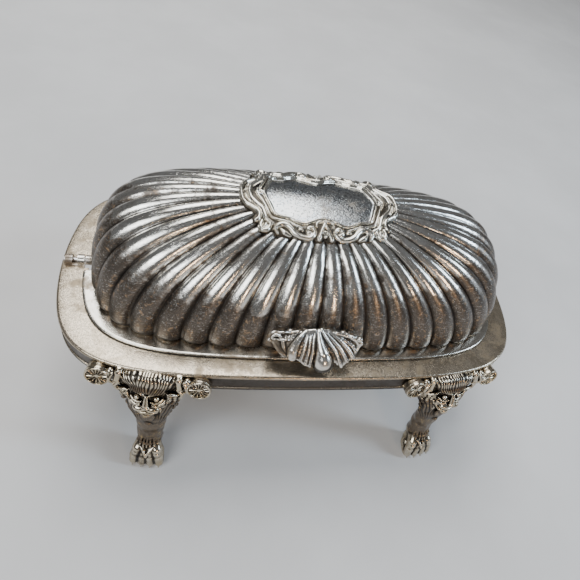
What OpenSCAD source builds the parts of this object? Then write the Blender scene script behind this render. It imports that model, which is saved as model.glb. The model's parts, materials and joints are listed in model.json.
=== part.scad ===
// Footed roll-top serving dish: a fluted half-shell lid turns on two pivots at
// the middle of the short ends and rolls back under the tray.
// X runs along the dish, -Y is the front, Z is up. The origin is on the
// surface that the paws stand on, under the middle of the dish.

/* [Tray] */
// Length of the tray, edge to edge
tray_l = 203; // [190:1:215]
// Width of the tray, edge to edge
tray_w = 111; // [106:1:118]
// Height of the tray's top above the floor
tray_z = 62; // [58:0.5:68]
// Depth of the hanging skirt
skirt_h = 9.5; // [6:0.5:12]
// Sheet thickness of the tray
sheet_t = 1.2; // [0.8:0.1:1.6]
// Bow of the long sides
bow_side = 3.4; // [0:0.1:6]
// Bow of the short ends
bow_end = 11; // [6:0.5:14]
// Squareness of the corners
corner_k = 5.9; // [3.5:0.1:8]

/* [Lid] */
// Length of the fluted shell
lid_l = 177.6; // [170:0.2:180]
// Width of the fluted shell, and twice its height
lid_w = 87.6; // [84:0.2:90]
// How much further the right end of the shell reaches than the left
lid_lean = 2.5; // [0:0.1:3]
// Number of flutes round the lid
flutes = 44; // [32:4:56]
// Depth of the grooves between flutes
groove_d = 2.2; // [1:0.1:2.6]
// Sheet thickness of the lid
lid_t = 1; // [0.6:0.1:1.4]
// Width of the flat rim in front
rim_w = 3.6; // [2:0.1:4.2]
// How far the back edge dips into the slot, in degrees
back_dip = 5; // [2:0.5:7]

/* [Ornament] */
// Length of the cartouche on top
cart_l = 64; // [50:1:70]
// Width of the cartouche on top
cart_w = 41; // [30:1:46]
// Width of the shell thumb piece
thumb_w = 37; // [28:1:42]
// Height of the shell thumb piece
thumb_h = 17; // [12:0.5:18]

/* [Pan and liner] */
// Inside length of the pan
pan_l = 142; // [120:1:146]
// Inside width of the pan
pan_w = 62; // [50:1:64]
// Inside depth of the pan
pan_d = 13; // [8:0.5:14]
// Corner radius of the pan
pan_r = 26; // [15:1:28]
// Gap round the glass liner
liner_gap = 2; // [1:0.5:3]
// Wall thickness of the glass liner
liner_t = 3; // [2:0.5:4]
// Height of the glass liner
liner_h = 16; // [12:0.5:18]

/* [Feet] */
// Half the distance between the feet along the dish
foot_x = 62.3; // [58:0.1:66]
// Distance from the middle of the dish to a mask's face
foot_y = 52.8; // [50:0.2:56]
// Turn of each foot towards its corner, in degrees
foot_turn = 9.5; // [0:0.5:15]
// Distance between the two scrolls of a foot
scroll_pitch = 37; // [34:0.2:42]
// How far each paw stands out in front of its mask
paw_out = 2.6; // [0:0.1:4]
// How far each paw is set towards the end of the dish
paw_side = 1.1; // [0:0.1:2]
// Tilt of the scrolls' faces upwards, in degrees
scroll_tilt = 14; // [0:1:20]
// Radius of a scroll
scroll_r = 4; // [3:0.1:5]

/* [Pivots] */
// Radius of the pivot pin
pin_r = 0.8; // [0.6:0.05:1]
// Height of the pivot axis above the tray
pivot_h = 1.2; // [1:0.1:1.6]
// Radial clearance of the pin in the lid's lug
pin_gap = 0.05; // [0.02:0.01:0.1]

/* [Hidden] */
$fn = 48;
silver = [0.72, 0.70, 0.66];
dark_silver = [0.52, 0.48, 0.43];
bright = [0.82, 0.81, 0.79];
glass = [0.75, 0.88, 0.86, 0.5];
pivot_z = tray_z + pivot_h;
lid_a = lid_l / 2;
lid_b = lid_w / 2;
rim_top = pivot_z + 0.1;
slot_front = -11;      // how far the end slots run in front of the pivot axis
lug_x0 = lid_a - 0.6;  // lug on the end of the shell
lug_x1 = lid_a + 3.0;
ear_x0 = lug_x1 + 0.5; // inner ear of the bracket
ear_x1 = ear_x0 + 2.6;
ear_x2 = tray_l / 2 - 4.6;
ear_x3 = tray_l / 2 - 1.9;

// One point of a bowed, rounded-rectangle outline at direction p
function su(p, k) = pow(pow(abs(cos(p)), k) + pow(abs(sin(p)), k), -1 / k);
function opt(p, a, b, s1, s2, k) =
    let (u = su(p, k), cx = u * cos(p), cy = u * sin(p))
    [cx * (a - s2 * cy * cy), cy * (b - s1 * cx * cx)];
function outline(a, b, s1 = bow_side, s2 = bow_end, k = corner_k, n = 120) =
    [for (i = [0:n - 1]) opt(360 * (i + 0.5) / n, a, b, s1, s2, k)];

// The right end of the shell, drawn out a little
function lean(p) = let (t = min(max((p[0] - 30) / (lid_a - 30), 0), 1), x = p[0] + lid_lean * t * t * (3 - 2 * t))
    len(p) == 2 ? [x, p[1]] : [x, p[1], p[2]];

// Radius of the lid's body of revolution at a distance x along the axis
function opsi(x, lo, hi, i) = i == 0 ? (lo + hi) / 2 :
    let (m = (lo + hi) / 2)
    opt(m, lid_a, lid_b, bow_side, bow_end, corner_k)[0] > x ? opsi(x, m, hi, i - 1) : opsi(x, lo, m, i - 1);
function lid_r(x) = abs(x) >= lid_a ? 0 : opt(opsi(abs(x), 0, 90, 20), lid_a, lid_b, bow_side, bow_end, corner_k)[1];
function r2(x) = pow(lid_r(x), 2);
function rdr(x) = let (h = 0.15, lo = max(abs(x) - h, 0), hi = min(abs(x) + h, lid_a - 0.0005))
    sign(x) * (r2(hi) - r2(lo)) / (hi - lo) / 2;
function unit(v) = v / norm(v);

// ---------- lid shell ----------
seg = 4;                       // facets across one flute
na = flutes * seg;
rim_pts = [for (i = [0:720]) opt(i / 2, lid_a, lid_b, bow_side, bow_end, corner_k)];
function cum(p, i = 1, s = 0, acc = [[0, 0]]) = i >= len(p) ? acc :
    let (d = s + norm(p[i] - p[i - 1])) cum(p, i + 1, d, concat(acc, [[d, i / 2]]));
rim_len = cum(rim_pts);
rim_total = rim_len[len(rim_len) - 1][0];
function col_dir(j) = lookup((j % na) * rim_total / na, rim_len);
lobe = [0, 0.86, 1, 0.86];
function col_lobe(j) = lobe[(j + na) % seg];
function plan(j, g) = let (e = 360 * j / na, p = opt(col_dir(j), lid_a, lid_b, bow_side, bow_end, corner_k),
    q = [cart_l * 0.45 * cos(e), cart_w * 0.45 * sin(e)])
    g <= 0 ? q * (1 + g) : q * (1 - g) + p * g;
function dome(q) = let (r = lid_r(q[0])) [q[0], q[1], sqrt(max(r * r - q[1] * q[1], 0))];
function dome_n(s) = unit([-rdr(s[0]), s[1], s[2]]);
function fade(g) = let (t = min(max((g - 0.02) / 0.3, 0), 1)) t * t * (3 - 2 * t);
function sunk(j, g) = groove_d * (0.25 + fade(g) * (0.75 - col_lobe(j)));
function outer_pt(j, g) = let (s = dome(plan(j, g)), n = dome_n(s)) s - n * sunk(j, g);
function inner_pt(j, g) = let (s = dome(plan(j, g)), n = dome_n(s)) s - n * (sunk(j, g) + lid_t);
function dip(s, j) = s[1] > 0 ? [s[0], s[1] * cos(back_dip), s[2] - s[1] * sin(back_dip)] : [s[0], s[1], max(s[2], 0.12)];
outer_g = [-0.5, 0, 0.18, 0.4, 0.6, 0.77, 0.9, 0.975, 1];
inner_g = [1, 0.975, 0.9, 0.75, 0.5, 0.2, 0, -0.5];

module lid_shell() {
    ro = len(outer_g); ri = len(inner_g);
    pts = concat(
        [for (g = outer_g) for (j = [0:na - 1]) outer_pt(j, g)],
        [for (j = [0:na - 1]) dip(outer_pt(j, 1), j)],
        [for (j = [0:na - 1]) dip(inner_pt(j, 1), j)],
        [for (i = [0:ri - 1]) for (j = [0:na - 1]) let (s = inner_pt(j, inner_g[i])) s[1] > 0 ? s : [s[0], s[1], max(s[2], 0.2)]],
        [[0, 0, lid_b - groove_d * 0.25]], [[0, 0, lid_b - groove_d * 0.25 - lid_t]]);
    // the front edge of the outer skin sits just above the flat rim
    fixed = [for (i = [0:len(pts) - 1]) let (s = pts[i])
        (s[1] <= 0 && i >= (ro - 1) * na && i < ro * na) ? [s[0], s[1], max(s[2], 0.2)] : s];
    rings = ro + 2 + ri;
    c0 = rings * na; c1 = c0 + 1;
    faces = concat(
        [for (j = [0:na - 1]) [c0, (j + 1) % na, j]],
        [for (r = [0:rings - 2]) for (j = [0:na - 1]) let (k = (j + 1) % na) [r * na + j, r * na + k, (r + 1) * na + k]],
        [for (r = [0:rings - 2]) for (j = [0:na - 1]) let (k = (j + 1) % na) [r * na + j, (r + 1) * na + k, (r + 1) * na + j]],
        [for (j = [0:na - 1]) [c1, (rings - 1) * na + j, (rings - 1) * na + (j + 1) % na]]);
    color(silver) translate([0, 0, pivot_z]) polyhedron(points = [for (s = fixed) lean(s)], faces = faces, convexity = 6);
}

module lid_front_rim() {
    color(silver) translate([0, 0, tray_z + 0.2]) linear_extrude(rim_top - tray_z - 0.2)
        intersection() {
            difference() {
                polygon(outline(lid_a + rim_w, lid_b + rim_w));
                polygon([for (s = outline(lid_a - groove_d - lid_t, lid_b - groove_d - lid_t)) lean(s)]);
            }
            translate([-150, -206]) square([300, 200]);
        }
}

// ---------- tray ----------
module rounded(l, w, r) {
    square([l, w - 2 * r], center = true);
    square([l - 2 * r, w], center = true);
    for (sx = [-1, 1]) for (sy = [-1, 1]) translate([sx * (l / 2 - r), sy * (w / 2 - r)]) circle(r, $fn = 96);
}

module slot_2d() {
    intersection() {
        difference() {
            polygon([for (s = outline(lid_a + 1.8, lid_b + 1.8)) lean(s)]);
            polygon([for (s = outline(lid_a - groove_d - lid_t - 1.2, lid_b - groove_d - lid_t - 1.2)) lean(s)]);
        }
        translate([-150, slot_front]) square([300, 150]);
    }
    for (s = [-1, 1]) translate([s * (lid_a + 1.5), 0]) square([4.2, 6.6], center = true);
}

module tray() {
    a = tray_l / 2; b = tray_w / 2;
    color(dark_silver) {
        // flange with a stepped, rounded edge
        translate([0, 0, tray_z - sheet_t]) linear_extrude(sheet_t)
            difference() { polygon(outline(a - 1.2, b - 1.2)); slot_2d(); rounded(pan_l, pan_w, pan_r); }
        translate([0, 0, tray_z - 1.8]) linear_extrude(1.3)
            difference() { polygon(outline(a - 0.35, b - 0.35)); polygon(outline(a - 2, b - 2)); }
        // hanging skirt and its bead
        translate([0, 0, tray_z - skirt_h + 1]) linear_extrude(skirt_h - 2.4)
            difference() { polygon(outline(a - 0.1, b - 0.1)); polygon(outline(a - 1.5, b - 1.5)); }
        translate([0, 0, tray_z - skirt_h]) linear_extrude(1.4)
            difference() { polygon(outline(a, b)); polygon(outline(a - 1.5, b - 1.5)); }
        // shallow pan
        translate([0, 0, tray_z - pan_d - 1]) linear_extrude(pan_d + 1)
            difference() { rounded(pan_l + 2, pan_w + 2, pan_r + 1); rounded(pan_l, pan_w, pan_r); }
        translate([0, 0, tray_z - pan_d - 1]) linear_extrude(1) rounded(pan_l + 2, pan_w + 2, pan_r + 1);
    }
}

module glass_liner() {
    l = pan_l - 2 * liner_gap; w = pan_w - 2 * liner_gap; r = pan_r - liner_gap;
    color(glass) translate([0, 0, tray_z - pan_d + 0.1]) {
        linear_extrude(liner_t) rounded(l, w, r);
        linear_extrude(liner_h) difference() {
            rounded(l, w, r);
            rounded(l - 2 * liner_t, w - 2 * liner_t, r - liner_t);
        }
    }
}

// ---------- feet ----------
// One cast foot: -Y is outwards, X runs along the tray's edge, Z = 0 is the sole
module foot_body() {
    zs = tray_z - 5.1;
    hull() {    // hair and brow
        translate([0, 1.5, tray_z - 5.5]) scale([1, 0.42, 0.52]) sphere(9.5, $fn = 20);
        translate([0, 0.6, tray_z - 11.5]) sphere(6.6, $fn = 20);
    }
    hull() {    // face, leaning out towards the muzzle
        translate([0, 0.6, tray_z - 11.5]) sphere(6.6, $fn = 20);
        translate([0, -4, tray_z - 15.4]) sphere(3.3, $fn = 16);
        translate([0, -3, tray_z - 21]) sphere(3.4, $fn = 16);
    }
    for (s = [-1, 1]) {
        hull() {    // mane sweeping out to the scrolls
            translate([s * 6, 1.2, tray_z - 9]) sphere(4.6, $fn = 16);
            translate([s * (scroll_pitch / 2 - 2.5), 1.8, zs]) sphere(2.6, $fn = 12);
        }
        hull() {    // mane falling to the leg
            translate([s * 7.4, 1.2, tray_z - 14]) sphere(3.4, $fn = 14);
            translate([s * 2.4, 0.4, tray_z - 32]) sphere(3.4, $fn = 14);
        }
        translate([s * scroll_pitch / 2, 0, zs]) rotate([-90 - scroll_tilt, 0, 0])
            translate([0, 0, -2.4]) cylinder(h = 6.8, r = scroll_r);
    }
    hull() {    // thigh
        translate([0, 1.2, tray_z - 16]) sphere(8, $fn = 18);
        translate([0, 0.3, tray_z - 32]) sphere(5.8, $fn = 16);
    }
    hull() {    // shin
        translate([0, 0.3, tray_z - 32]) sphere(5.8, $fn = 16);
        translate([-0.9 * paw_side, -0.4 - 0.9 * paw_out, 12.5]) sphere(4.4, $fn = 16);
    }
}
module paw() {
    for (i = [-1.5:1:1.5]) hull() {
        translate([i * 1.2, -0.8, 11]) sphere(3.4, $fn = 12);
        translate([i * 2.8, -4.6, 6.4]) sphere(3.1, $fn = 12);
        translate([i * 3.6, -8.5 + 0.6 * abs(i), 2.2]) sphere(2.5, $fn = 12);
        translate([i * 2.4, -1.2, 1.6]) sphere(2.4, $fn = 12);
    }
}
module foot(sx, sy) {
    color(dark_silver) scale_mirror(sx, sy) difference() {
        translate([-foot_x, -foot_y, 0]) rotate([0, 0, -foot_turn]) { foot_body(); translate([-paw_side, -paw_out, 0]) paw(); }
        translate([0, 0, tray_z - skirt_h]) linear_extrude(skirt_h + 20) polygon(outline(tray_l / 2, tray_w / 2));
        translate([0, 0, -20]) translate([-200, -200]) cube([400, 400, 20]);
    }
}
// Mirrors the front left foot to another corner
module scale_mirror(sx, sy) {
    mirror([sx > 0 ? 1 : 0, 0, 0]) mirror([0, sy > 0 ? 1 : 0, 0]) children();
}
module foot_front_left() { foot(-1, -1); }
module foot_front_right() { foot(1, -1); }
module foot_rear_left() { foot(-1, 1); }
module foot_rear_right() { foot(1, 1); }

// ---------- pivots ----------
module along_x(x0, x1, r) { translate([x0, 0, pivot_z]) rotate([0, 90, 0]) cylinder(h = x1 - x0, r = r); }

// d moves the inner ear outwards, e moves the end of the shell outwards
module bracket(d = 0) {
    color(silver) difference() {
        union() {
            translate([ear_x0 + d, -2.6, tray_z]) cube([ear_x3 - ear_x0 - d, 5.2, 0.5]);
            for (x = [[ear_x0 + d, ear_x1 + d], [ear_x2, ear_x3]]) {
                along_x(x[0], x[1], 2.3);
                translate([x[0], -2.3, tray_z]) cube([x[1] - x[0], 4.6, pivot_h]);
            }
        }
        translate([0, 0, -20]) translate([ear_x0 - 1, -4, tray_z]) cube([30, 8, 20]);
        along_x(ear_x0 - 1, ear_x3 + 1, pin_r + 0.03);
    }
}
module pin(e = 0) { color(bright) union() { along_x(lug_x0 + 0.5 + e, ear_x3, pin_r); along_x(ear_x3, ear_x3 + 0.8, pin_r + 0.35); } }
module lug(d = 0, e = 0) {
    color(silver) difference() {
        along_x(lug_x0 + e, lug_x1 + d, 2.1);
        along_x(lug_x0 + e - 1, lug_x1 + d + 1, pin_r + pin_gap);
    }
}
module pivot_bracket_left() { mirror([1, 0, 0]) bracket(); }
module pivot_bracket_right() { bracket(min(lid_lean, 1)); }
module pivot_pin_left() { mirror([1, 0, 0]) pin(); }
module pivot_pin_right() { pin(lid_lean); }
module lid_lug_left() { mirror([1, 0, 0]) lug(); }
module lid_lug_right() { lug(min(lid_lean, 1), lid_lean); }

// ---------- ornament ----------
function cart_pt(p) = let (q = 1 + 0.05 * cos(8 * p) + 0.035 * cos(4 * p) + 0.02 * cos(16 * p))
    [cart_l / 2.14 * q * cos(p), cart_w / 2.14 * q * sin(p)];
module dome_layer(r0, r1) {
    translate([0, 0, pivot_z]) rotate([0, 90, 0]) rotate_extrude($fn = 128)
        intersection() {
            difference() {
                polygon(concat([[0, -60], [0, 60]], [for (x = [60:-4:-60]) [lid_r(x) + r1, x]]));
                polygon(concat([[-1, -61], [-1, 61]], [for (x = [61:-4:-61]) [lid_r(x) + r0, x]]));
            }
            translate([0, -60]) square([80, 120]);
        }
}
module cartouche() {
    color(bright) union() {
        intersection() {
            dome_layer(-0.5, 1.4);
            translate([0, 0, pivot_z + 10]) linear_extrude(60) difference() {
                polygon([for (i = [0:95]) cart_pt(360 * (i + 0.5) / 96)]);
                polygon([for (i = [0:95]) cart_pt(360 * (i + 0.5) / 96) * 0.74]);
            }
        }
        intersection() {
            dome_layer(-0.5, 0.3);
            translate([0, 0, pivot_z + 10]) linear_extrude(60)
                polygon([for (i = [0:95]) cart_pt(360 * (i + 0.5) / 96) * 0.76]);
        }
    }
}

// A scallop shell: ribs spread down and outwards from a root on the lid to a lip over the rim
module thumb_piece() {
    n = 11;
    drop = thumb_h - 6.6;
    root_z = rim_top + thumb_h - 2.6;
    root_y = -sqrt(pow(lid_b, 2) - pow(root_z - pivot_z, 2)) - 1.8;
    out = lid_b + 9 + root_y;
    color(bright) {
        for (i = [0:n - 1]) let (p = 180 * (i + 0.5) / n, c = cos(p), d = sin(p), r = i == (n - 1) / 2 ? 3.1 : 2)
            hull() {
                translate([1.2 * c, root_y, root_z]) sphere(1.5, $fn = 12);
                translate([(thumb_w / 2 - 2) * c * 0.6, root_y - out * d * 0.42, root_z - drop * d * 0.5]) sphere(1.7, $fn = 12);
                translate([(thumb_w / 2 - 2) * c, root_y - out * d, root_z - drop * d * (1 - 0.08 * abs(c))]) sphere(r, $fn = 14);
            }
        hull() {    // neck that joins the shell to the rim
            translate([0, -lid_b - 1.4, rim_top + 1.3]) sphere(1.3, $fn = 12);
            translate([0, root_y - out * 0.4, root_z - drop * 0.5]) sphere(1.5, $fn = 12);
        }
    }
}

tray();
glass_liner();
foot_front_left();
foot_front_right();
foot_rear_left();
foot_rear_right();
pivot_bracket_left();
pivot_bracket_right();
pivot_pin_left();
pivot_pin_right();
lid_shell();
lid_front_rim();
lid_lug_left();
lid_lug_right();
cartouche();
thumb_piece();
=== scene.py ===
import json
import math
import bpy
import bmesh
import numpy as np
from mathutils import Matrix, Vector
from mathutils.geometry import delaunay_2d_cdt


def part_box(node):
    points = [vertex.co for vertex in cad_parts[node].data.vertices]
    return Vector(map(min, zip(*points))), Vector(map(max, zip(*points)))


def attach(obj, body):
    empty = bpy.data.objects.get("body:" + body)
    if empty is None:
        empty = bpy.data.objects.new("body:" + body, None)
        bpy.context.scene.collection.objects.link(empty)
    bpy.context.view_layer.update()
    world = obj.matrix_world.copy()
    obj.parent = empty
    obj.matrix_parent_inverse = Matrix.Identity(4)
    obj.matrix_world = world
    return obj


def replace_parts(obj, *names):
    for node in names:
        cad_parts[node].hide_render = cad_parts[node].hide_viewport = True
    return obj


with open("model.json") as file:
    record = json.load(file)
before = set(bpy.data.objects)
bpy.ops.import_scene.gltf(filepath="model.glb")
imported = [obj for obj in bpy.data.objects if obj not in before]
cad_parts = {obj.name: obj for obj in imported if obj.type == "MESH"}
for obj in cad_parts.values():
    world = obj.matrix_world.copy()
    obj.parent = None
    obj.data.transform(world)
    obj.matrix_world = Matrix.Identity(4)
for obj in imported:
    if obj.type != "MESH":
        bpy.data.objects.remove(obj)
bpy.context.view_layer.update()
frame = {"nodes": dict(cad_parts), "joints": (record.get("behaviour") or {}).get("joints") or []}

MM = 0.001
# ------------------------------------------------------------------ sizes, from the frame
def corners(n):
    lo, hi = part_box(n)
    return np.array(lo) * 1000, np.array(hi) * 1000

t_lo, t_hi = corners("tray")
s_lo, s_hi = corners("lid_shell")
r_lo, r_hi = corners("lid_front_rim")
A, B, ZT = t_hi[0], t_hi[1], t_hi[2]              # tray half length, half width, top
LA, LB = s_hi[0], s_hi[1]                         # lid half length, half width
LAr, LBr = round(LA, 1), 43.8
JP = [j for j in frame["joints"] if j["name"] == "lid_roll"][0]["pos_m"]
ZP = JP[2] * 1000                                 # pivot axis height
SKIRT = 9.5
BOW_S, BOW_E, KC = 3.4, 11.0, 5.9
LID_A, LID_B = 88.8, 43.8
LEAN = 2.5
RIM_W = 3.6
PAN_L, PAN_W, PAN_R, PAN_D = 142.0, 62.0, 26.0, 13.0
rng = np.random.RandomState(7)


# ------------------------------------------------------------------ outlines
def opt(p, a, b, k=KC, s1=BOW_S, s2=BOW_E):
    c, s = np.cos(p), np.sin(p)
    u = (np.abs(c) ** k + np.abs(s) ** k) ** (-1 / k)
    cx, cy = u * c, u * s
    return np.stack([cx * (a - s2 * cy ** 2), cy * (b - s1 * cx ** 2)], -1)


_p = np.linspace(0, np.pi / 2, 6001)
_o = opt(_p, LID_A, LID_B)
_ord = np.argsort(_o[:, 0])


def lid_r(x):
    return np.interp(np.abs(x), _o[_ord, 0], _o[_ord, 1], right=0.0)


_x2 = np.linspace(0, LID_A, 8001)
_r2 = lid_r(_x2) ** 2
_g2 = np.gradient(_r2, _x2)


def rdr(x):
    return np.sign(x) * np.interp(np.abs(x), _x2, _g2) / 2


def dome(xy):
    r = lid_r(xy[..., 0])
    z = np.sqrt(np.maximum(r * r - xy[..., 1] ** 2, 0))
    return np.stack([xy[..., 0], xy[..., 1], z], -1)


def dome_n(s):
    n = np.stack([-rdr(s[..., 0]), s[..., 1], s[..., 2]], -1)
    return n / np.maximum(np.linalg.norm(n, axis=-1, keepdims=True), 1e-9)


def smooth(t):
    t = np.clip(t, 0, 1)
    return t * t * (3 - 2 * t)


def lean(x):
    """The shell's right end reaches a little further out than its left."""
    return x + LEAN * smooth((x - 30) / (LID_A - 30))


# ------------------------------------------------------------------ value noise for geometry
def vnoise(P, scale, seed):
    q = P * scale
    i = np.floor(q).astype(np.int64)
    f = q - i
    f = f * f * (3 - 2 * f)
    out = np.zeros(P.shape[:-1])
    for dx in (0, 1):
        for dy in (0, 1):
            for dz in (0, 1):
                h = (i[..., 0] + dx) * 374761393 + (i[..., 1] + dy) * 668265263 + (i[..., 2] + dz) * 2147483647 + seed * 1013904223
                h = (h ^ (h >> 13)) * 1274126177
                h = ((h ^ (h >> 16)) & 0xFFFFFF) / float(0xFFFFFF)
                w = (f[..., 0] if dx else 1 - f[..., 0]) * (f[..., 1] if dy else 1 - f[..., 1]) * (f[..., 2] if dz else 1 - f[..., 2])
                out += w * h
    return out * 2 - 1


# ------------------------------------------------------------------ mesh helpers
def mk(name, V, F, attrs=None, angle=None):
    me = bpy.data.meshes.new(name)
    me.from_pydata((np.asarray(V) * MM).tolist(), [], F.tolist() if hasattr(F, "tolist") else F)
    me.polygons.foreach_set("use_smooth", np.ones(len(me.polygons), dtype=bool))
    for k, v in (attrs or {}).items():
        at = me.attributes.new(k, "FLOAT", "POINT")
        at.data.foreach_set("value", np.asarray(v, dtype=np.float32))
    me.update()
    ob = bpy.data.objects.new(name, me)
    bpy.context.scene.collection.objects.link(ob)
    if angle is not None:
        me.set_sharp_from_angle(angle=math.radians(angle))
    return ob


def grid_faces(r, c, wrap=True, flip=False):
    i = np.arange(r - 1)[:, None]
    j = np.arange(c if wrap else c - 1)[None, :]
    k = (j + 1) % c
    f = np.stack([i * c + j + 0 * k, i * c + k, (i + 1) * c + k, (i + 1) * c + j], -1).reshape(-1, 4)
    return f[:, ::-1] if flip else f


def fix_normals(ob):
    bm = bmesh.new()
    bm.from_mesh(ob.data)
    bmesh.ops.remove_doubles(bm, verts=bm.verts, dist=1e-7)
    bmesh.ops.recalc_face_normals(bm, faces=bm.faces)
    bm.to_mesh(ob.data)
    bm.free()
    ob.data.update()


# ------------------------------------------------------------------ signed distance modelling
class Field:
    """A block of space that shapes are added to or cut from, turned into a mesh with surface nets."""

    def __init__(self, lo, hi, h):
        self.lo = np.array(lo, float)
        self.h = h
        self.n = (np.ceil((np.array(hi) - self.lo) / h).astype(int) + 1)
        self.V = np.full(self.n, 9.0, dtype=np.float32)
        self.ax = [self.lo[a] + h * np.arange(self.n[a]) for a in range(3)]

    def block(self, lo, hi):
        s, g = [], []
        for a in range(3):
            i0 = max(int((lo[a] - self.lo[a]) / self.h) - 1, 0)
            i1 = min(int((hi[a] - self.lo[a]) / self.h) + 2, self.n[a])
            if i1 <= i0:
                return None, None
            s.append(slice(i0, i1))
            g.append(self.ax[a][i0:i1].astype(np.float32))
        return tuple(s), np.meshgrid(*g, indexing="ij", sparse=True)

    def add(self, fn, lo, hi, k=0.0, mode="add"):
        m = max(k, 0.6) + 0.8
        lo = np.minimum(lo, hi) - m
        hi = np.maximum(lo + m, hi) + m
        s, g = self.block(lo, hi)
        if s is None:
            return
        d = fn(*g).astype(np.float32)
        v = self.V[s]
        if mode == "add":
            if k > 0:
                e = np.maximum(k - np.abs(v - d), 0) / k
                self.V[s] = np.minimum(v, d) - e * e * k * 0.25
            else:
                self.V[s] = np.minimum(v, d)
        elif mode == "cut":
            if k > 0:
                e = np.maximum(k - np.abs(v + d), 0) / k
                self.V[s] = np.maximum(v, -d) + e * e * k * 0.25
            else:
                self.V[s] = np.maximum(v, -d)

    def cone(self, a, b, ra, rb, k=0.3, mode="add", sq=(1, 1, 1)):
        a, b = np.array(a, float), np.array(b, float)
        q = np.array(sq, float)
        ab = (b - a) / q
        L = max(float(ab @ ab), 1e-9)

        def fn(x, y, z):
            px, py, pz = (x - a[0]) / q[0], (y - a[1]) / q[1], (z - a[2]) / q[2]
            t = np.clip((px * ab[0] + py * ab[1] + pz * ab[2]) / L, 0, 1)
            dx, dy, dz = px - ab[0] * t, py - ab[1] * t, pz - ab[2] * t
            return (np.sqrt(dx * dx + dy * dy + dz * dz) - (ra + (rb - ra) * t)) * min(q)
        r = max(ra, rb) * max(q)
        self.add(fn, np.minimum(a, b) - r, np.maximum(a, b) + r, k, mode)

    def line(self, pts, rad, k=0.25, mode="add"):
        pts = np.asarray(pts, float)
        rad = np.broadcast_to(rad, (len(pts),))
        for i in range(len(pts) - 1):
            self.cone(pts[i], pts[i + 1], rad[i], rad[i + 1], k, mode)

    def ball(self, c, r, k=0.5, mode="add"):
        c, r = np.array(c, float), np.broadcast_to(np.array(r, float), (3,))

        def fn(x, y, z):
            px, py, pz = (x - c[0]) / r[0], (y - c[1]) / r[1], (z - c[2]) / r[2]
            l = np.sqrt(px * px + py * py + pz * pz)
            return (l - 1) * float(min(r))
        self.add(fn, c - r, c + r, k, mode)

    def cyl(self, c, axis, h, r, k=0.2, mode="add", rnd=0.3):
        c, axis = np.array(c, float), np.array(axis, float)
        axis /= np.linalg.norm(axis)

        def fn(x, y, z):
            px, py, pz = x - c[0], y - c[1], z - c[2]
            t = px * axis[0] + py * axis[1] + pz * axis[2]
            rr = np.sqrt(np.maximum(px * px + py * py + pz * pz - t * t, 0))
            u, v = rr - (r - rnd), np.abs(t) - (h / 2 - rnd)
            return np.minimum(np.maximum(u, v), 0) + np.sqrt(np.maximum(u, 0) ** 2 + np.maximum(v, 0) ** 2) - rnd
        m = r + h
        self.add(fn, c - m, c + m, k, mode)

    def torus(self, c, axis, R, r, k=0.15, mode="add"):
        c, axis = np.array(c, float), np.array(axis, float)
        axis /= np.linalg.norm(axis)

        def fn(x, y, z):
            px, py, pz = x - c[0], y - c[1], z - c[2]
            t = px * axis[0] + py * axis[1] + pz * axis[2]
            rr = np.sqrt(np.maximum(px * px + py * py + pz * pz - t * t, 0)) - R
            return np.sqrt(rr * rr + t * t) - r
        self.add(fn, c - R - r, c + R + r, k, mode)

    def boxy(self, lo, hi, rnd=0.4, k=0.3, mode="add"):
        lo, hi = np.array(lo, float), np.array(hi, float)
        c, e = (lo + hi) / 2, (hi - lo) / 2 - rnd

        def fn(x, y, z):
            a, b, d = np.abs(x - c[0]) - e[0], np.abs(y - c[1]) - e[1], np.abs(z - c[2]) - e[2]
            return np.minimum(np.maximum(a, np.maximum(b, d)), 0) + np.sqrt(np.maximum(a, 0) ** 2 + np.maximum(b, 0) ** 2 + np.maximum(d, 0) ** 2) - rnd
        self.add(fn, lo, hi, k, mode)

    def mesh(self, blur=2):
        V = self.V
        V[0], V[-1], V[:, 0], V[:, -1], V[:, :, 0], V[:, :, -1] = 1, 1, 1, 1, 1, 1
        S = V < 0
        c = np.array(V.shape) - 1
        idx = [slice(0, -1), slice(1, None)]

        def cor(o):
            return (idx[o[0]], idx[o[1]], idx[o[2]])
        first = S[cor((0, 0, 0))]
        act = np.zeros(c, bool)
        for o in [(a, b, d) for a in (0, 1) for b in (0, 1) for d in (0, 1)]:
            act |= S[cor(o)] != first
        cells = np.argwhere(act)
        vid = np.full(c, -1, dtype=np.int64)
        vid[act] = np.arange(len(cells))
        pos = np.zeros((len(cells), 3))
        cnt = np.zeros(len(cells))
        for ax in range(3):
            oth = [a for a in range(3) if a != ax]
            for u in (0, 1):
                for w in (0, 1):
                    o = np.zeros(3, int)
                    o[oth[0]], o[oth[1]] = u, w
                    a = cells + o
                    b = a.copy()
                    b[:, ax] += 1
                    va, vb = V[tuple(a.T)], V[tuple(b.T)]
                    m = (va < 0) != (vb < 0)
                    t = va[m] / (va[m] - vb[m])
                    q = np.tile(o.astype(float), (int(m.sum()), 1))
                    q[:, ax] += t
                    pos[m] += q
                    cnt[m] += 1
        P = self.lo + self.h * (cells + pos / cnt[:, None])
        quads = []
        for ax in range(3):
            o1, o2 = [(1, 2), (2, 0), (0, 1)][ax]
            s0, s1 = [slice(None)] * 3, [slice(None)] * 3
            s0[ax], s1[ax] = slice(0, -1), slice(1, None)
            e = np.argwhere(S[tuple(s0)] != S[tuple(s1)])
            e = e[(e[:, o1] > 0) & (e[:, o2] > 0) & (e[:, o1] < c[o1]) & (e[:, o2] < c[o2])]
            flip = S[tuple(e.T)]
            q = []
            for d1, d2 in ((-1, -1), (0, -1), (0, 0), (-1, 0)):
                k = e.copy()
                k[:, o1] += d1
                k[:, o2] += d2
                q.append(vid[tuple(k.T)])
            q = np.stack(q, -1)
            q[~flip] = q[~flip][:, ::-1]
            quads.append(q)
        F = np.concatenate(quads)
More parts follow.
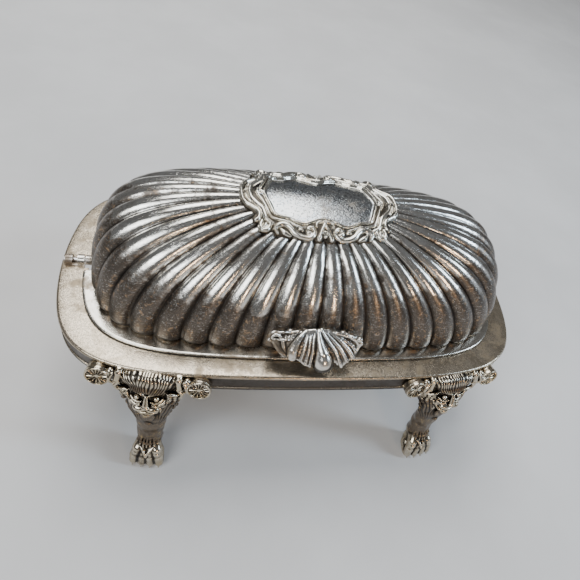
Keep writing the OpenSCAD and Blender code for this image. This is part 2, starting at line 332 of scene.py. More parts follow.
        # hollows and ridges, from a blurred copy of the field
        W = np.clip(V, -2.5, 2.5).astype(np.float32)
        for _ in range(blur):
            for ax in range(3):
                W = (np.roll(W, 1, ax) + np.roll(W, -1, ax) + W * 1.0) / 3
            for ax in range(3):
                W = (np.roll(W, 2, ax) + np.roll(W, -2, ax) + W * 1.0) / 3
        g = (P - self.lo) / self.h
        i = np.clip(np.floor(g).astype(int), 0, np.array(V.shape) - 2)
        f = g - i
        cav = np.zeros(len(P))
        for dx in (0, 1):
            for dy in (0, 1):
                for dz in (0, 1):
                    w = (f[:, 0] if dx else 1 - f[:, 0]) * (f[:, 1] if dy else 1 - f[:, 1]) * (f[:, 2] if dz else 1 - f[:, 2])
                    cav += w * W[i[:, 0] + dx, i[:, 1] + dy, i[:, 2] + dz]
        return P, F, cav


# ------------------------------------------------------------------ materials
def nodes_of(name):
    m = bpy.data.materials.new(name)
    m.use_nodes = True
    nt = m.node_tree
    for n in list(nt.nodes):
        nt.nodes.remove(n)
    out = nt.nodes.new("ShaderNodeOutputMaterial")
    b = nt.nodes.new("ShaderNodeBsdfPrincipled")
    nt.links.new(b.outputs[0], out.inputs[0])
    return m, nt, b


class N:
    """Small wrapper that builds shader nodes in one line each."""

    def __init__(self, nt):
        self.nt = nt

    def new(self, kind, **kw):
        n = self.nt.nodes.new(kind)
        for k, v in kw.items():
            setattr(n, k, v)
        return n

    def link(self, a, b):
        self.nt.links.new(a, b)

    def put(self, sock, v):
        if isinstance(v, bpy.types.NodeSocket):
            self.link(v, sock)
        else:
            sock.default_value = v

    def math(self, op, a, b=0.0, c=0.0, clamp=False):
        n = self.new("ShaderNodeMath", operation=op, use_clamp=clamp)
        self.put(n.inputs[0], a)
        self.put(n.inputs[1], b)
        if op in ("MULTIPLY_ADD", "SMOOTH_MIN", "SMOOTH_MAX"):
            self.put(n.inputs[2], c)
        return n.outputs[0]

    def ramp(self, v, lo, hi, a=0.0, b=1.0):
        n = self.new("ShaderNodeMapRange", interpolation_type="SMOOTHSTEP")
        self.put(n.inputs[0], v)
        n.inputs[1].default_value, n.inputs[2].default_value = lo, hi
        n.inputs[3].default_value, n.inputs[4].default_value = a, b
        return n.outputs[0]

    def noise(self, vec, scale, detail=4.0, rough=0.55, dist=0.0):
        n = self.new("ShaderNodeTexNoise")
        self.link(vec, n.inputs["Vector"])
        n.inputs["Scale"].default_value = scale
        n.inputs["Detail"].default_value = detail
        n.inputs["Roughness"].default_value = rough
        n.inputs["Distortion"].default_value = dist
        return n.outputs[0]

    def obj(self, scale=(1, 1, 1), rot=(0, 0, 0)):
        t = self.new("ShaderNodeTexCoord")
        if scale == (1, 1, 1) and rot == (0, 0, 0):
            return t.outputs["Object"]
        m = self.new("ShaderNodeMapping")
        self.link(t.outputs["Object"], m.inputs[0])
        m.inputs["Scale"].default_value = scale
        m.inputs["Rotation"].default_value = rot
        return m.outputs[0]

    def attr(self, name):
        n = self.new("ShaderNodeAttribute", attribute_name=name)
        return n.outputs["Fac"]

    def mix(self, f, a, b):
        n = self.new("ShaderNodeMix", data_type="RGBA")
        self.put(n.inputs[0], f)
        for s, v in ((n.inputs[6], a), (n.inputs[7], b)):
            if isinstance(v, bpy.types.NodeSocket):
                self.link(v, s)
            else:
                s.default_value = (*v, 1)
        return n.outputs[2]

    def bump(self, h, strength, dist, normal=None):
        n = self.new("ShaderNodeBump")
        n.inputs["Strength"].default_value = strength
        n.inputs["Distance"].default_value = dist
        self.link(h, n.inputs["Height"])
        if normal is not None:
            self.link(normal, n.inputs["Normal"])
        return n.outputs[0]


def plate(name, bright, brown, dark, rough=0.2, stain=0.5, grain=0.5, cav=None, low=None, tint=None, scr=0.5, fleck=None, cloud=0.0, wave=1.0, pit=0.0, metal=1.0):
    """Old silver plate: bright metal under brown stain, darker in hollows and where the 'low' attribute is set (partly
    stain, partly painted shade), with grain, flecks and scratches.
    """
    m, nt, b = nodes_of(name)
    n = N(nt)
    o = n.obj()
    big = n.noise(o, 38, 5, 0.65, 0.9)
    mid = n.noise(o, 170, 6, 0.65, 0.5)
    fine = n.noise(o, 900, 4, 0.65)
    tiny = n.noise(o, 2900, 2, 0.5)
    s = n.math("ADD", n.math("MULTIPLY", big, 0.55), n.math("MULTIPLY", mid, 0.45))
    # the 'low' attribute adds to the stain mask; on the lid and the feet it carries painted shade as well as tarnish
    if low is not None:
        s = n.math("ADD", n.ramp(n.attr("low"), low[0], low[1], 0.0, low[2]), s)
    if cav is not None:
        s = n.math("MULTIPLY_ADD", n.attr("cav"), 0.12, s)
    mask = n.ramp(s, 0.62 - 0.24 * stain, 0.74 - 0.24 * stain)
    col = bright
    if cloud > 0:
        cl = n.ramp(n.noise(n.obj((1, 1, 1), (0.4, 0.2, 0.9)), 95, 5, 0.7, 1.2), 0.38, 0.66, 0.0, cloud)
        col = n.mix(cl, col, tint or brown)
    elif tint is not None:
        col = n.mix(n.ramp(n.noise(o, 75, 3, 0.5, 0.8), 0.45, 0.68, 0.0, 0.55), col, tint)
    col = n.mix(n.math("MULTIPLY", mask, 0.93), col, brown)
    if fleck is not None:
        fl = n.ramp(n.noise(n.obj((1, 1, 1), (0.9, 0.1, 0.3)), 330, 4, 0.7, 1.5), 0.56, 0.66)
        col = n.mix(n.math("MULTIPLY", fl, n.ramp(s, 0.45, 0.75, 0.0, 0.75)), col, fleck)
    speck = n.ramp(n.math("ADD", n.math("MULTIPLY", fine, 0.6), n.math("MULTIPLY", tiny, 0.4)), 0.50, 0.64)
    col = n.mix(n.math("MULTIPLY", n.math("MULTIPLY", speck, n.ramp(s, 0.30, 0.70, 0.25, 1.0)), 0.45 * grain), col, dark)
    if pit > 0:
        pt = n.ramp(n.noise(n.obj((1, 1, 1), (0.2, 0.7, 0.4)), 1300, 3, 0.65), 0.49, 0.60, 0.0, pit)
        col = n.mix(pt, col, tuple(0.30 * v for v in bright))
    st = n.noise(n.obj((1, 7, 7), (0.3, 0.5, 0.6)), 330, 3, 0.7)
    st2 = n.noise(n.obj((8, 1, 5), (0.2, -0.4, 1.1)), 300, 3, 0.7)
    lines = n.math("MAXIMUM", n.ramp(st, 0.60, 0.66), n.ramp(st2, 0.61, 0.67))
    col = n.mix(n.math("MULTIPLY", n.math("MULTIPLY", lines, mask), 0.5 * scr), col, tuple(0.8 * v for v in bright))
    if cav is not None:
        c = n.math("MULTIPLY_ADD", n.math("SUBTRACT", mid, 0.5), 0.45, n.attr("cav"))
        col = n.mix(n.ramp(c, cav[0], cav[1], 0.0, cav[2]), col, dark)
    n.link(col, b.inputs["Base Color"])
    n.link(n.ramp(mask, 0, 1, metal, 0.82 * metal), b.inputs["Metallic"])
    r = n.math("MULTIPLY_ADD", mask, 0.16, rough)
    r = n.math("MULTIPLY_ADD", n.math("SUBTRACT", fine, 0.5), 0.18 * grain, r)
    r = n.math("MULTIPLY_ADD", n.math("SUBTRACT", big, 0.5), 0.16, r)
    n.link(n.math("MAXIMUM", r, 0.05), b.inputs["Roughness"])
    nb = n.bump(n.math("ADD", n.math("MULTIPLY", big, 0.5), mid), 0.30 * wave, 0.00030)
    nb = n.bump(n.math("ADD", n.ramp(st, 0.56, 0.64), n.ramp(st2, 0.58, 0.66)), 0.14 * scr, 0.00006, nb)
    nb = n.bump(n.math("ADD", fine, tiny), 0.34 * grain, 0.00007, nb)
    n.link(nb, b.inputs["Normal"])
    return m


M_LID = plate("lid_silver_plate", (0.84, 0.82, 0.77), (0.072, 0.053, 0.039), (0.018, 0.014, 0.011), 0.17, 0.40, 1.0, (0.38, 0.95, 0.94), (0.46, 0.94, 0.40), (0.50, 0.45, 0.38), 1.2, (0.50, 0.33, 0.19), 0.45)
M_TRAY = plate("tray_silver_plate", (0.52, 0.445, 0.345), (0.32, 0.25, 0.165), (0.07, 0.052, 0.036), 0.24, 0.50, 1.6, None, None, (0.36, 0.30, 0.22), 0.8, (0.32, 0.235, 0.14), 0.9, 0.9, 0.25, 0.88)
# painted shade: a very dark copy of the tray's silver plate for the skirt in shade under the flange
M_SKIRT_SHADE = plate("skirt_plate_painted_shade", (0.070, 0.058, 0.048), (0.045, 0.035, 0.028), (0.012, 0.010, 0.008), 0.32, 0.6, 1.2, None, None, None, 0.6)
M_ORN = plate("ornament_silver_plate", (0.84, 0.81, 0.75), (0.25, 0.195, 0.135), (0.022, 0.017, 0.013), 0.19, 0.52, 0.8, (0.38, 0.92, 0.92), None, None, 0.3, (0.55, 0.42, 0.26), 0.25, 1.3, 0.0, 0.97)
M_CART = plate("cartouche_silver_plate", (0.60, 0.61, 0.60), (0.30, 0.255, 0.19), (0.035, 0.03, 0.024), 0.14, 0.36, 1.8, (0.36, 0.90, 0.94), None, (0.38, 0.43, 0.49), 0.4, (0.36, 0.37, 0.38), 0.5, 0.5, 0.75)
M_CARTF = plate("cartouche_frame_silver_plate", (0.80, 0.77, 0.69), (0.34, 0.28, 0.20), (0.035, 0.029, 0.022), 0.19, 0.36, 0.9, (0.36, 0.90, 0.93), None, (0.56, 0.50, 0.39), 0.4, (0.56, 0.46, 0.30), 0.4, 0.8)
M_FOOT = plate("cast_silver_plate", (0.62, 0.555, 0.45), (0.12, 0.09, 0.064), (0.012, 0.009, 0.007), 0.17, 0.06, 0.9, (0.36, 0.86, 0.94), (0.0, 1.0, 0.42), (0.48, 0.38, 0.22), 0.3, (0.46, 0.34, 0.17), 0.55)
M_FIT = plate("fitting_silver_plate", (0.72, 0.68, 0.62), (0.24, 0.19, 0.14), (0.03, 0.025, 0.02), 0.22, 0.55, 0.8)
M_RIM = plate("rim_silver_plate", (0.72, 0.68, 0.60), (0.30, 0.24, 0.17), (0.04, 0.03, 0.024), 0.22, 0.44, 0.9, None, None, (0.46, 0.42, 0.36), 0.6, None, 0.6, 0.6)
# painted shade: near-black material standing in for the shadow line under the lid's front rim
M_GAP_SHADE = plate("painted_gap_shade", (0.035, 0.028, 0.022), (0.02, 0.016, 0.012), (0.008, 0.006, 0.005), 0.5, 0.5, 0.5)
M_PIN = plate("pin_metal", (0.78, 0.77, 0.75), (0.36, 0.32, 0.27), (0.06, 0.05, 0.04), 0.2, 0.4, 0.5)


def glass_mat():
    m, nt, b = nodes_of("pressed_glass")
    n = N(nt)
    b.inputs["Base Color"].default_value = (0.90, 0.96, 0.95, 1)
    b.inputs["Transmission Weight"].default_value = 1.0
    b.inputs["IOR"].default_value = 1.5
    o = n.obj()
    n.link(n.ramp(n.noise(o, 220, 4, 0.6), 0.4, 0.75, 0.03, 0.10), b.inputs["Roughness"])
    n.link(n.bump(n.noise(o, 90, 2, 0.5), 0.15, 0.0003), b.inputs["Normal"])
    return m


M_GLASS = glass_mat()

# ------------------------------------------------------------------ lid shell
FL, PER = 44, 12
NA = FL * PER
_pp = np.linspace(0, 2 * np.pi, 14401)
_oo = opt(_pp, LID_A, LID_B)
_cl = np.concatenate([[0], np.cumsum(np.linalg.norm(np.diff(_oo, axis=0), axis=1))])
col = np.arange(NA)
psi = np.interp(col * _cl[-1] / NA, _cl, _pp)
rim_xy = opt(psi, LID_A, LID_B)
e_ang = 2 * np.pi * col / NA
CART_L, CART_W = 64.0, 41.0
mid_xy = np.stack([CART_L * 0.45 * np.cos(e_ang), CART_W * 0.45 * np.sin(e_ang)], -1)
ph = (col % PER) / PER
cc = 0.95
lobe = 1 - (1 - np.sqrt(1 - (cc * (2 * ph - 1)) ** 2)) / (1 - math.sqrt(1 - cc * cc))


def lid_ring(g, t, extra):
    """One ring of the lid: g is the plan position from the cartouche (0) to the rim (1)."""
    q = mid_xy * (1 + g) if g <= 0 else mid_xy * (1 - g) + rim_xy * g
    s = dome(q)
    nrm = dome_n(s)
    depth = (1.15 + 1.55 * smooth(g / 0.8)) if g > 0 else 1.15 * smooth(1 + g * 5)
    end = 68.0 * (1 - t)
    tip = math.sqrt(max(1 - max(0.0, 1 - end / 3.4) ** 2, 0)) if t < 1 else 0.0
    h = lobe * (tip if g > 0 else 1.0)
    sunk = depth * (1 - h) + 0.35 * (1 - smooth((g + 0.02) / 0.3))
    sunk = sunk + 0.10 * vnoise(s, 0.11, 3) + extra
    return s - nrm * sunk[:, None], (1 - h) * np.ones(NA)


ts = np.linspace(0, 1, 66)
rings, cavs, lows = [], [], []
for g in (-0.999, -0.6, -0.3, -0.12):
    v, c = lid_ring(g, 0, 0)
    rings.append(v), cavs.append(c * 0), lows.append(0 * c)
for t in ts:
    v, c = lid_ring(max(math.sin(t * math.pi / 2), 1e-4), t, 0)
    rings.append(v), cavs.append(c), lows.append(np.full(NA, t))
front = rim_xy[:, 1] <= 0


def low_edge(v, floor):
    v = v.copy()
    v[front, 2] = np.maximum(v[front, 2], floor)
    return v


def dipped(v, deg):
    a = math.radians(deg)
    y, z = v[:, 1].copy(), v[:, 2].copy()
    w = v.copy()
    w[:, 1] = np.where(front, y, y * math.cos(a) + z * math.sin(a))
    w[:, 2] = np.where(front, np.maximum(z, 0.14), z * math.cos(a) - y * math.sin(a))
    return w


rings = [low_edge(v, 0.14 + 0.0 * i) for i, v in enumerate(rings)]
for d in (1.7, 3.4, 4.9):
    rings.append(dipped(rings[len(ts) + 3], d)), cavs.append(cavs[-1] * 0 + 0.6), lows.append(np.full(NA, 1.0))
n_out = len(rings)
for d in (4.9, 2.5):
    v, c = lid_ring(1.0, 1.0, 0.95)
    rings.append(dipped(low_edge(v, 0.14), d)), cavs.append(c * 0 + 0.5), lows.append(np.full(NA, 1.0))
for t in ts[::-3]:
    v, c = lid_ring(max(math.sin(t * math.pi / 2), 1e-4), t, 0.95)
    rings.append(low_edge(v, 0.16)), cavs.append(0.25 + 0.3 * (1 - c)), lows.append(np.full(NA, 0.5))
for g in (-0.12, -0.3, -0.6, -0.999):
    v, c = lid_ring(g, 0, 0.95)
    rings.append(v), cavs.append(c * 0 + 0.2), lows.append(0 * c + 0.5)
R_ = len(rings)
LV = np.concatenate(rings)
LV[:, 2] += ZP
LF = grid_faces(R_, NA, True, True)
c0, c1 = len(LV), len(LV) + 1
LV = np.vstack([LV, [[0, 0, ZP + LID_B - 0.35]], [[0, 0, ZP + LID_B - 1.3]]])
LFl = LF.tolist() + [[c0, j, (j + 1) % NA] for j in range(NA)] + [[c1, (R_ - 1) * NA + (j + 1) % NA, (R_ - 1) * NA + j] for j in range(NA)]
LV[:, 0] = lean(LV[:, 0])
# the lid's 'low' attribute adds brown stain towards the rim and more towards the right end: partly tarnish, partly
# painted shade on the lobes' lower halves and on the right side
lid = mk("lid_shell_fluted", LV, LFl, {"cav": np.concatenate(cavs + [[0, 0]]), "low": np.concatenate(lows + [[0, 0.5]]) * (1 + 0.25 * smooth((LV[:, 0] + 25) / 60.0))})
lid.data.materials.append(M_LID)
fix_normals(lid)
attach(lid, "lid"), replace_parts(lid, "lid_shell"), lid

# ------------------------------------------------------------------ front rim of the lid
pp = np.linspace(np.pi, 2 * np.pi, 1601)
oo = opt(pp, LID_A + RIM_W, LID_B + RIM_W)
keep = pp[oo[:, 1] < -6.05]
cl = np.concatenate([[0], np.cumsum(np.linalg.norm(np.diff(opt(keep, LID_A + RIM_W, LID_B + RIM_W), axis=0), axis=1))])
psr = np.interp(np.linspace(0, cl[-1], 361), cl, keep)
zb, zt_ = ZT + 0.2, ZP + 0.1
sec = [(1.5, zb), (1.5, zb + 0.30), (0.22, zb + 0.34), (0.02, zb + 0.48), (0.0, zb + 0.66), (0.10, zt_ - 0.16), (0.42, zt_), (1.2, zt_ - 0.03), (RIM_W + 2.6, zt_ - 0.03), (RIM_W + 2.9, zb)]
RV = []
for d, z in sec:
    o2 = opt(psr, LID_A + RIM_W - d, LID_B + RIM_W - d)
    RV.append(np.column_stack([o2, np.full(len(o2), z)]))
RV.append(RV[0])
RVa = np.concatenate(RV[:-1])
m_ = len(psr)
RF = [[a * m_ + j, a * m_ + j + 1, ((a + 1) % len(sec)) * m_ + j + 1, ((a + 1) % len(sec)) * m_ + j] for a in range(len(sec)) for j in range(m_ - 1)]
RF += [[a * m_ for a in range(len(sec))][::-1], [a * m_ + m_ - 1 for a in range(len(sec))]]
rim = mk("lid_front_rim_strip", RVa, RF)
fix_normals(rim)
rim.data.set_sharp_from_angle(angle=math.radians(50))
rim.data.materials.append(M_RIM)
rim.data.materials.append(M_GAP_SHADE)
# painted shade: the underside and the low recess of the rim strip take the near-black material, where the rim's shadow
# falls on the tray
for p in rim.data.polygons:
    if p.normal.z < -0.3 or p.center.z * 1000 < ZT + 0.52:
        p.material_index = 1
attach(rim, "lid"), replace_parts(rim, "lid_front_rim"), rim

# ------------------------------------------------------------------ tray
NT = 360
_ta = opt(_pp, A, B)
_tc = np.concatenate([[0], np.cumsum(np.linalg.norm(np.diff(_ta, axis=0), axis=1))])
pst = np.interp((np.arange(NT) + 0.5) * _tc[-1] / NT, _tc, _pp)
zb = ZT - SKIRT
arc = [(1.0 - 1.0 * math.cos(math.radians(a)), ZT - 1.0 + 1.0 * math.sin(math.radians(a))) for a in range(-30, 91, 15)]
prof = [(3.2, ZT - 1.2), (1.9, ZT - 1.45), (1.35, ZT - 2.2), (1.3, zb + 0.3), (1.15, zb), (0.25, zb), (0.05, zb + 0.25), (0.0, zb + 0.7), (0.06, zb + 1.25), (0.42, zb + 1.5), (0.45, ZT - 2.2), (0.40, ZT - 1.8)] + arc + [(3.2, ZT)]
TV = [np.column_stack([opt(pst, A - d, B - d), np.full(NT, z)]) for d, z in prof]
TVa = np.concatenate(TV)
TF = grid_faces(len(prof), NT).tolist()
skirt_rows = 11


def rrect(L, W, R, n, off=0.0):
    """Rounded rectangle, n points to each corner arc, offset outwards by off."""
    out = []
    for q, (sx, sy) in enumerate([(1, 1), (-1, 1), (-1, -1), (1, -1)]):
        for i in range(n):
            a = math.pi / 2 * (q + i / (n - 1))
            out.append((sx * (L / 2 - R) + (R + off) * math.cos(a), sy * (W / 2 - R) + (R + off) * math.sin(a)))
    return np.array(out)


def slot_loop():
    fy = -11.0
    a1, b1 = LID_A + 1.8, LID_B + 1.8
    a2, b2 = LID_A - 4.4, LID_B - 4.4
    p = np.linspace(-np.pi / 2, 3 * np.pi / 2, 1441)[:-1]
    o1, o2 = opt(p, a1, b1), opt(p, a2, b2)
    o1, o2 = o1[o1[:, 1] > fy], o2[o2[:, 1] > fy]
    o1, o2 = [np.column_stack([lean(o[:, 0]), o[:, 1]]) for o in (o1, o2)]
    s1, s2 = o1[::4], o2[::4][::-1]
    pts = [(s1[0][0], fy)]
    xo = LID_A + 3.6
    for q in s1:
        if abs(q[1]) < 3.3:
            continue
        pts.append(tuple(q))
    # notches for the lugs
    out = []
    for i, q in enumerate(pts):
        out.append(q)
        if i + 1 < len(pts):
            w = pts[i + 1]
            if q[1] > 0 > w[1] and q[0] < 0:
                x0 = -(a1 - 0.05)
                out += [(x0, 3.3), (-xo, 3.3), (-xo, -3.3), (x0, -3.3)]
    out.append((s1[-1][0], fy))
    out.append((s2[0][0], fy))
    out += [tuple(q) for q in s2]
    out.append((s2[-1][0], fy))
    return np.array(out)


def inside(pt, poly):
    x, y = pt
    x0, y0 = poly[:, 0], poly[:, 1]
    x1, y1 = np.roll(x0, -1), np.roll(y0, -1)
    with np.errstate(divide="ignore", invalid="ignore"):
        c = ((y0 > y) != (y1 > y)) & (x < (x1 - x0) * (y - y0) / (y1 - y0) + x0)
    return bool(c.sum() % 2)


loop_o = opt(pst, A - 3.2, B - 3.2)
loop_s = slot_loop()
HOLE = 1.6
loop_p = rrect(PAN_L, PAN_W, PAN_R, 24, HOLE)
allp, edges = [], []
for lp in (loop_o, loop_s, loop_p):
    k = len(allp)
    allp += [Vector((float(x), float(y))) for x, y in lp]
    edges += [(k + i, k + (i + 1) % len(lp)) for i in range(len(lp))]
vs, es, fs, *_ = delaunay_2d_cdt(allp, edges, [], 0, 1e-6)
vs = np.array([tuple(v) for v in vs])
good = []
for f in fs:
    c = vs[list(f)].mean(0)
    if inside(c, loop_o) and not inside(c, loop_s) and not inside(c, loop_p):
        good.append(list(f))
k = len(TVa)
TVa = np.vstack([TVa, np.column_stack([vs, np.full(len(vs), ZT)]), np.column_stack([vs, np.full(len(vs), ZT - 1.2)])])
nv = len(vs)
TF += [[k + i for i in f] for f in good] + [[k + nv + i for i in f[::-1]] for f in good]
# walls of the slot
k = len(TVa)
ns = len(loop_s)
TVa = np.vstack([TVa, np.column_stack([loop_s, np.full(ns, ZT)]), np.column_stack([loop_s, np.full(ns, ZT - 1.2)])])
TF += [[k + i, k + (i + 1) % ns, k + ns + (i + 1) % ns, k + ns + i] for i in range(ns)]
# pan: inside from the ledge down to the floor, outside back up
pi_ = [(HOLE, ZT)] + [(HOLE - 1.6 * math.sin(math.radians(a)), ZT - 1.6 + 1.6 * math.cos(math.radians(a))) for a in (22.5, 45, 67.5, 90)]
pi_ += [(-0.1, ZT - PAN_D + 2.6)] + [(-0.1 - 2.5 * (1 - math.cos(math.radians(a))), ZT - PAN_D + 2.5 - 2.5 * math.sin(math.radians(a))) for a in (22.5, 45, 67.5, 90)]
po_ = [(-2.6, ZT - PAN_D - 1), (-0.8, ZT - PAN_D - 0.72), (0.5, ZT - PAN_D + 0.5), (0.95, ZT - PAN_D + 2.4), (0.98, ZT - 2.2), (HOLE, ZT - 1.2)]
for pr in (pi_, po_):
    k = len(TVa)
    lps = [np.column_stack([rrect(PAN_L, PAN_W, PAN_R, 24, d), np.full(96, z)]) for d, z in pr]
    TVa = np.vstack([TVa] + lps)
    TF += (grid_faces(len(pr), 96) + k).tolist()
    last = k + (len(pr) - 1) * 96 if pr is pi_ else k
    TF.append([last + i for i in range(96)])
tray = mk("tray_pressed", TVa, TF)
bm = bmesh.new()
bm.from_mesh(tray.data)
bmesh.ops.remove_doubles(bm, verts=bm.verts, dist=2e-6)
bmesh.ops.recalc_face_normals(bm, faces=bm.faces)
bm.to_mesh(tray.data)
bm.free()
tray.data.set_sharp_from_angle(angle=math.radians(40))
tray.data.materials.append(M_TRAY)
tray.data.materials.append(M_SKIRT_SHADE)
# painted shade: the outer skirt faces below the flange take the dark skirt material
for p in tray.data.polygons:
    c, nn = p.center, p.normal
    if c.z * 1000 < ZT - 2.6 and abs(nn.z) < 0.7 and (abs(c.x) * 1000 > 76 or abs(c.y) * 1000 > 36):
        p.material_index = 1
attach(tray, "base"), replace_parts(tray, "tray"), tray

# ------------------------------------------------------------------ glass liner
g_lo, g_hi = corners("glass_liner")
GL, GW, GR, GT = g_hi[0] * 2, g_hi[1] * 2, PAN_R - 2, 3.0
z0, z1 = g_lo[2], g_hi[2]
gp = [(-3.0, z0), (-1.4, z0 + 0.35), (-0.35, z0 + 1.5), (-0.02, z0 + 3.2), (0, z1 - 1.2), (-0.3, z1 - 0.4), (-1.1, z1), (-1.9, z1), (-2.7, z1 - 0.4), (-3.0, z1 - 1.2), (-3.1, z0 + 6), (-3.8, z0 + 4.0), (-5.2, z0 + 3.1), (-6.6, z0 + 3.0)]
lps = [np.column_stack([rrect(GL, GW, GR, 24, d), np.full(96, z)]) for d, z in gp]
GV = np.concatenate(lps)
GF = grid_faces(len(gp), 96).tolist() + [list(range(96)), [(len(gp) - 1) * 96 + i for i in range(96)]]
liner = mk("glass_liner_pressed", GV, GF)
fix_normals(liner)
liner.data.set_sharp_from_angle(angle=math.radians(60))
liner.data.materials.append(M_GLASS)
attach(liner, "liner"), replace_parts(liner, "glass_liner"), liner

# ------------------------------------------------------------------ lion paw foot
FX, FY, TURN = 62.3, 52.8, 9.5
PITCH, SR, ZS, DY = 37.0, 4.5, ZT - 5.0, -2.3
PAW_OUT, PAW_SIDE = 2.6, 1.1


def foot_field():
    f = Field((-25.5, -12.8, -0.8), (25.5, 9.5, 63.2), 0.24)
    o = opt(np.linspace(np.pi, 1.5 * np.pi, 3000), A, B)
    a = math.radians(-TURN)
    d = o - np.array([-FX, -FY])
    lx, ly = math.cos(a) * d[:, 0] + math.sin(a) * d[:, 1], -math.sin(a) * d[:, 0] + math.cos(a) * d[:, 1]
    k = np.argsort(lx)
    lx, ly = lx[k], ly[k]
    # masses
    f.ball((0, 1.0, 57.8), (10.6, 3.2, 4.0), 1.0)
    f.ball((0, 0.8, 53.6), (8.2, 4.6, 5.6), 1.5)
    f.ball((0, -1.5, 50.6), (5.8, 4.1, 4.2), 1.2)
    f.ball((0, -2.4, 45.4), (4.2, 3.6, 4.6), 1.2)
    f.ball((0, 1.0, 46.6), (11.4, 3.8, 8.4), 1.5)
    f.cone((0, 0.4, 44), (0, -1.9, 35), 8.6, 6.0, 1.5, sq=(1.1, 0.66, 1))
    f.cone((0, -1.9, 35), (0, -1.7, 28), 6.0, 5.2, 1.2, sq=(1.1, 0.75, 1))
    f.cone((0, -1.7, 28), (0, 0.6, 20), 5.2, 4.8, 1.2, sq=(1.1, 0.8, 1))
    f.cone((0, 0.6, 20), (0, 1.2, 12.5), 4.8, 5.0, 1.2, sq=(1.1, 0.85, 1))
    for s in (-1, 1):
        f.ball((s * 8.6, 1.2, 52.5), (4.0, 3.2, 6.2), 1.5)
        f.cone((s * 7, 1.6, 57.2), (s * 16, 1.4, ZS + 0.3), 3.0, 2.4, 1.0)
        f.cone((s * 8, 1.5, 52), (s * 15.6, 1.6, ZS - 2.6), 3.0, 1.9, 1.2)
    # drums with spoked rosettes
    ax = np.array((0, -math.cos(math.radians(10)), math.sin(math.radians(10))))
    up = np.array((0, math.sin(math.radians(10)), math.cos(math.radians(10))))
    rt = np.array((1.0, 0, 0))
    for s in (-1, 1):
        face = np.array((s * PITCH / 2, DY, ZS))
        f.cyl(face - ax * 3.2, ax, 6.4, SR, 0.15, rnd=0.25)
        f.cyl(face, ax, 1.3, SR - 0.62, 0.10, "cut", rnd=0.1)
        f.torus(face - ax * 0.05, ax, SR - 0.34, 0.34, 0.12)
        f.torus(face - ax * 1.35, ax, SR - 0.06, 0.26, 0.12)
        # upright roll between the drum and the mane, with a curl beside it
        f.line([(s * 10.6, 1.2, 61.0), (s * 10.9, -0.8, 59.8), (s * 11.3, -2.0, 57.2)], [1.35, 1.4, 1.15], 0.2)
        f.torus((s * 10.8, -0.6, 60.0), (0, -0.85, -0.5), 1.35, 0.3, 0.1)
        f.ball((s * 11.5, -2.5, 56.3), (1.3, 1.0, 0.9), 0.2)
        f.ball((s * 13.9, -0.4, 58.6), (1.7, 1.8, 2.4), 0.3)
        f.line([(s * 12.8, -1.6, 59.8), (s * 14.0, -2.5, 58.0), (s * 14.2, -2.4, 55.8), (s * 12.9, -1.9, 53.6)], [0.5, 0.7, 0.7, 0.5], 0.15)
        f.line([(s * 10.6, -2.2, 55.2), (s * 12.4, -2.4, 53.6), (s * 12.2, -2.3, 51.4), (s * 10.6, -2.2, 50.2)], [0.5, 0.75, 0.75, 0.45], 0.15)
    # hair standing up over the brow
    f.ball((0, -0.9, 57.6), (9.9, 3.5, 4.3), 0.8)
    f.ball((0, -3.0, 55.2), (6.6, 2.4, 2.2), 0.6)
    # face
    for s in (-1, 1):
        f.ball((s * 3.6, -6.3, 52.3), (2.3, 2.0, 1.7), 0.25, "cut")
        f.ball((s * 1.7, -6.4, 52.2), (0.8, 1.6, 1.2), 0.25, "cut")
        f.ball((s * 3.5, -5.0, 51.9), (1.15, 1.3, 1.0), 0.04)
        f.line([(s * 0.8, -5.6, 53.9), (s * 2.2, -5.2, 54.5), (s * 4.2, -4.7, 55.0), (s * 6.0, -3.8, 54.6), (s * 6.9, -3.0, 53.4)], [0.3, 0.42, 0.42, 0.34, 0.25], 0.15)
        f.line([(s * 1.7, -6.5, 50.9), (s * 3.1, -6.3, 50.2), (s * 4.8, -5.7, 50.4), (s * 6.0, -4.6, 51.4)], [0.35, 0.55, 0.55, 0.35], 0.10)
        f.line([(s * 2.4, -6.9, 49.3), (s * 4.2, -6.4, 48.7), (s * 6.0, -5.4, 49.4), (s * 7.2, -4.2, 51.0), (s * 7.7, -3.4, 52.6)], [0.4, 0.62, 0.6, 0.5, 0.3], 0.10)
        f.ball((s * 5.1, -4.2, 47.6), (2.2, 2.0, 2.3), 0.4)
        f.ball((s * 2.3, -7.0, 47.4), (2.7, 1.8, 1.5), 0.2)
        f.line([(s * 4.6, -6.0, 48.0), (s * 6.4, -4.9, 47.6), (s * 7.4, -3.9, 48.8)], [0.5, 0.6, 0.35], 0.15)
        f.ball((s * 0.85, -8.15, 48.7), 0.36, 0.10, "cut")
        f.line([(s * 0.0, -8.5, 46.2), (s * 1.8, -8.2, 45.4), (s * 3.5, -7.0, 45.2), (s * 4.9, -5.7, 46.2)], [0.30, 0.42, 0.42, 0.28], 0.08, "cut")
        f.line([(s * 0.0, -7.4, 44.3), (s * 1.9, -7.3, 43.9), (s * 3.6, -6.5, 44.0), (s * 4.8, -5.2, 45.2)], [0.6, 0.7, 0.6, 0.4], 0.15)
        for i in range(3):
            f.line([(s * (2.6 + 0.5 * i), -7.9 + 0.5 * i, 47.9 - 0.5 * i), (s * (3.6 + 0.6 * i), -7.3 + 0.7 * i, 48.0 - 0.5 * i)], 0.16, 0.05, "cut")
    f.cone((0, -5.8, 53.2), (0, -7.4, 49.9), 0.7, 1.15, 0.2)
    f.ball((0, -8.0, 49.2), (1.7, 0.95, 0.85), 0.12)
    f.line([(0, -8.3, 48.3), (0, -8.5, 46.6)], [0.22, 0.26], 0.08, "cut")
    f.ball((0, -6.7, 41.6), (2.2, 1.7, 1.9), 0.3)
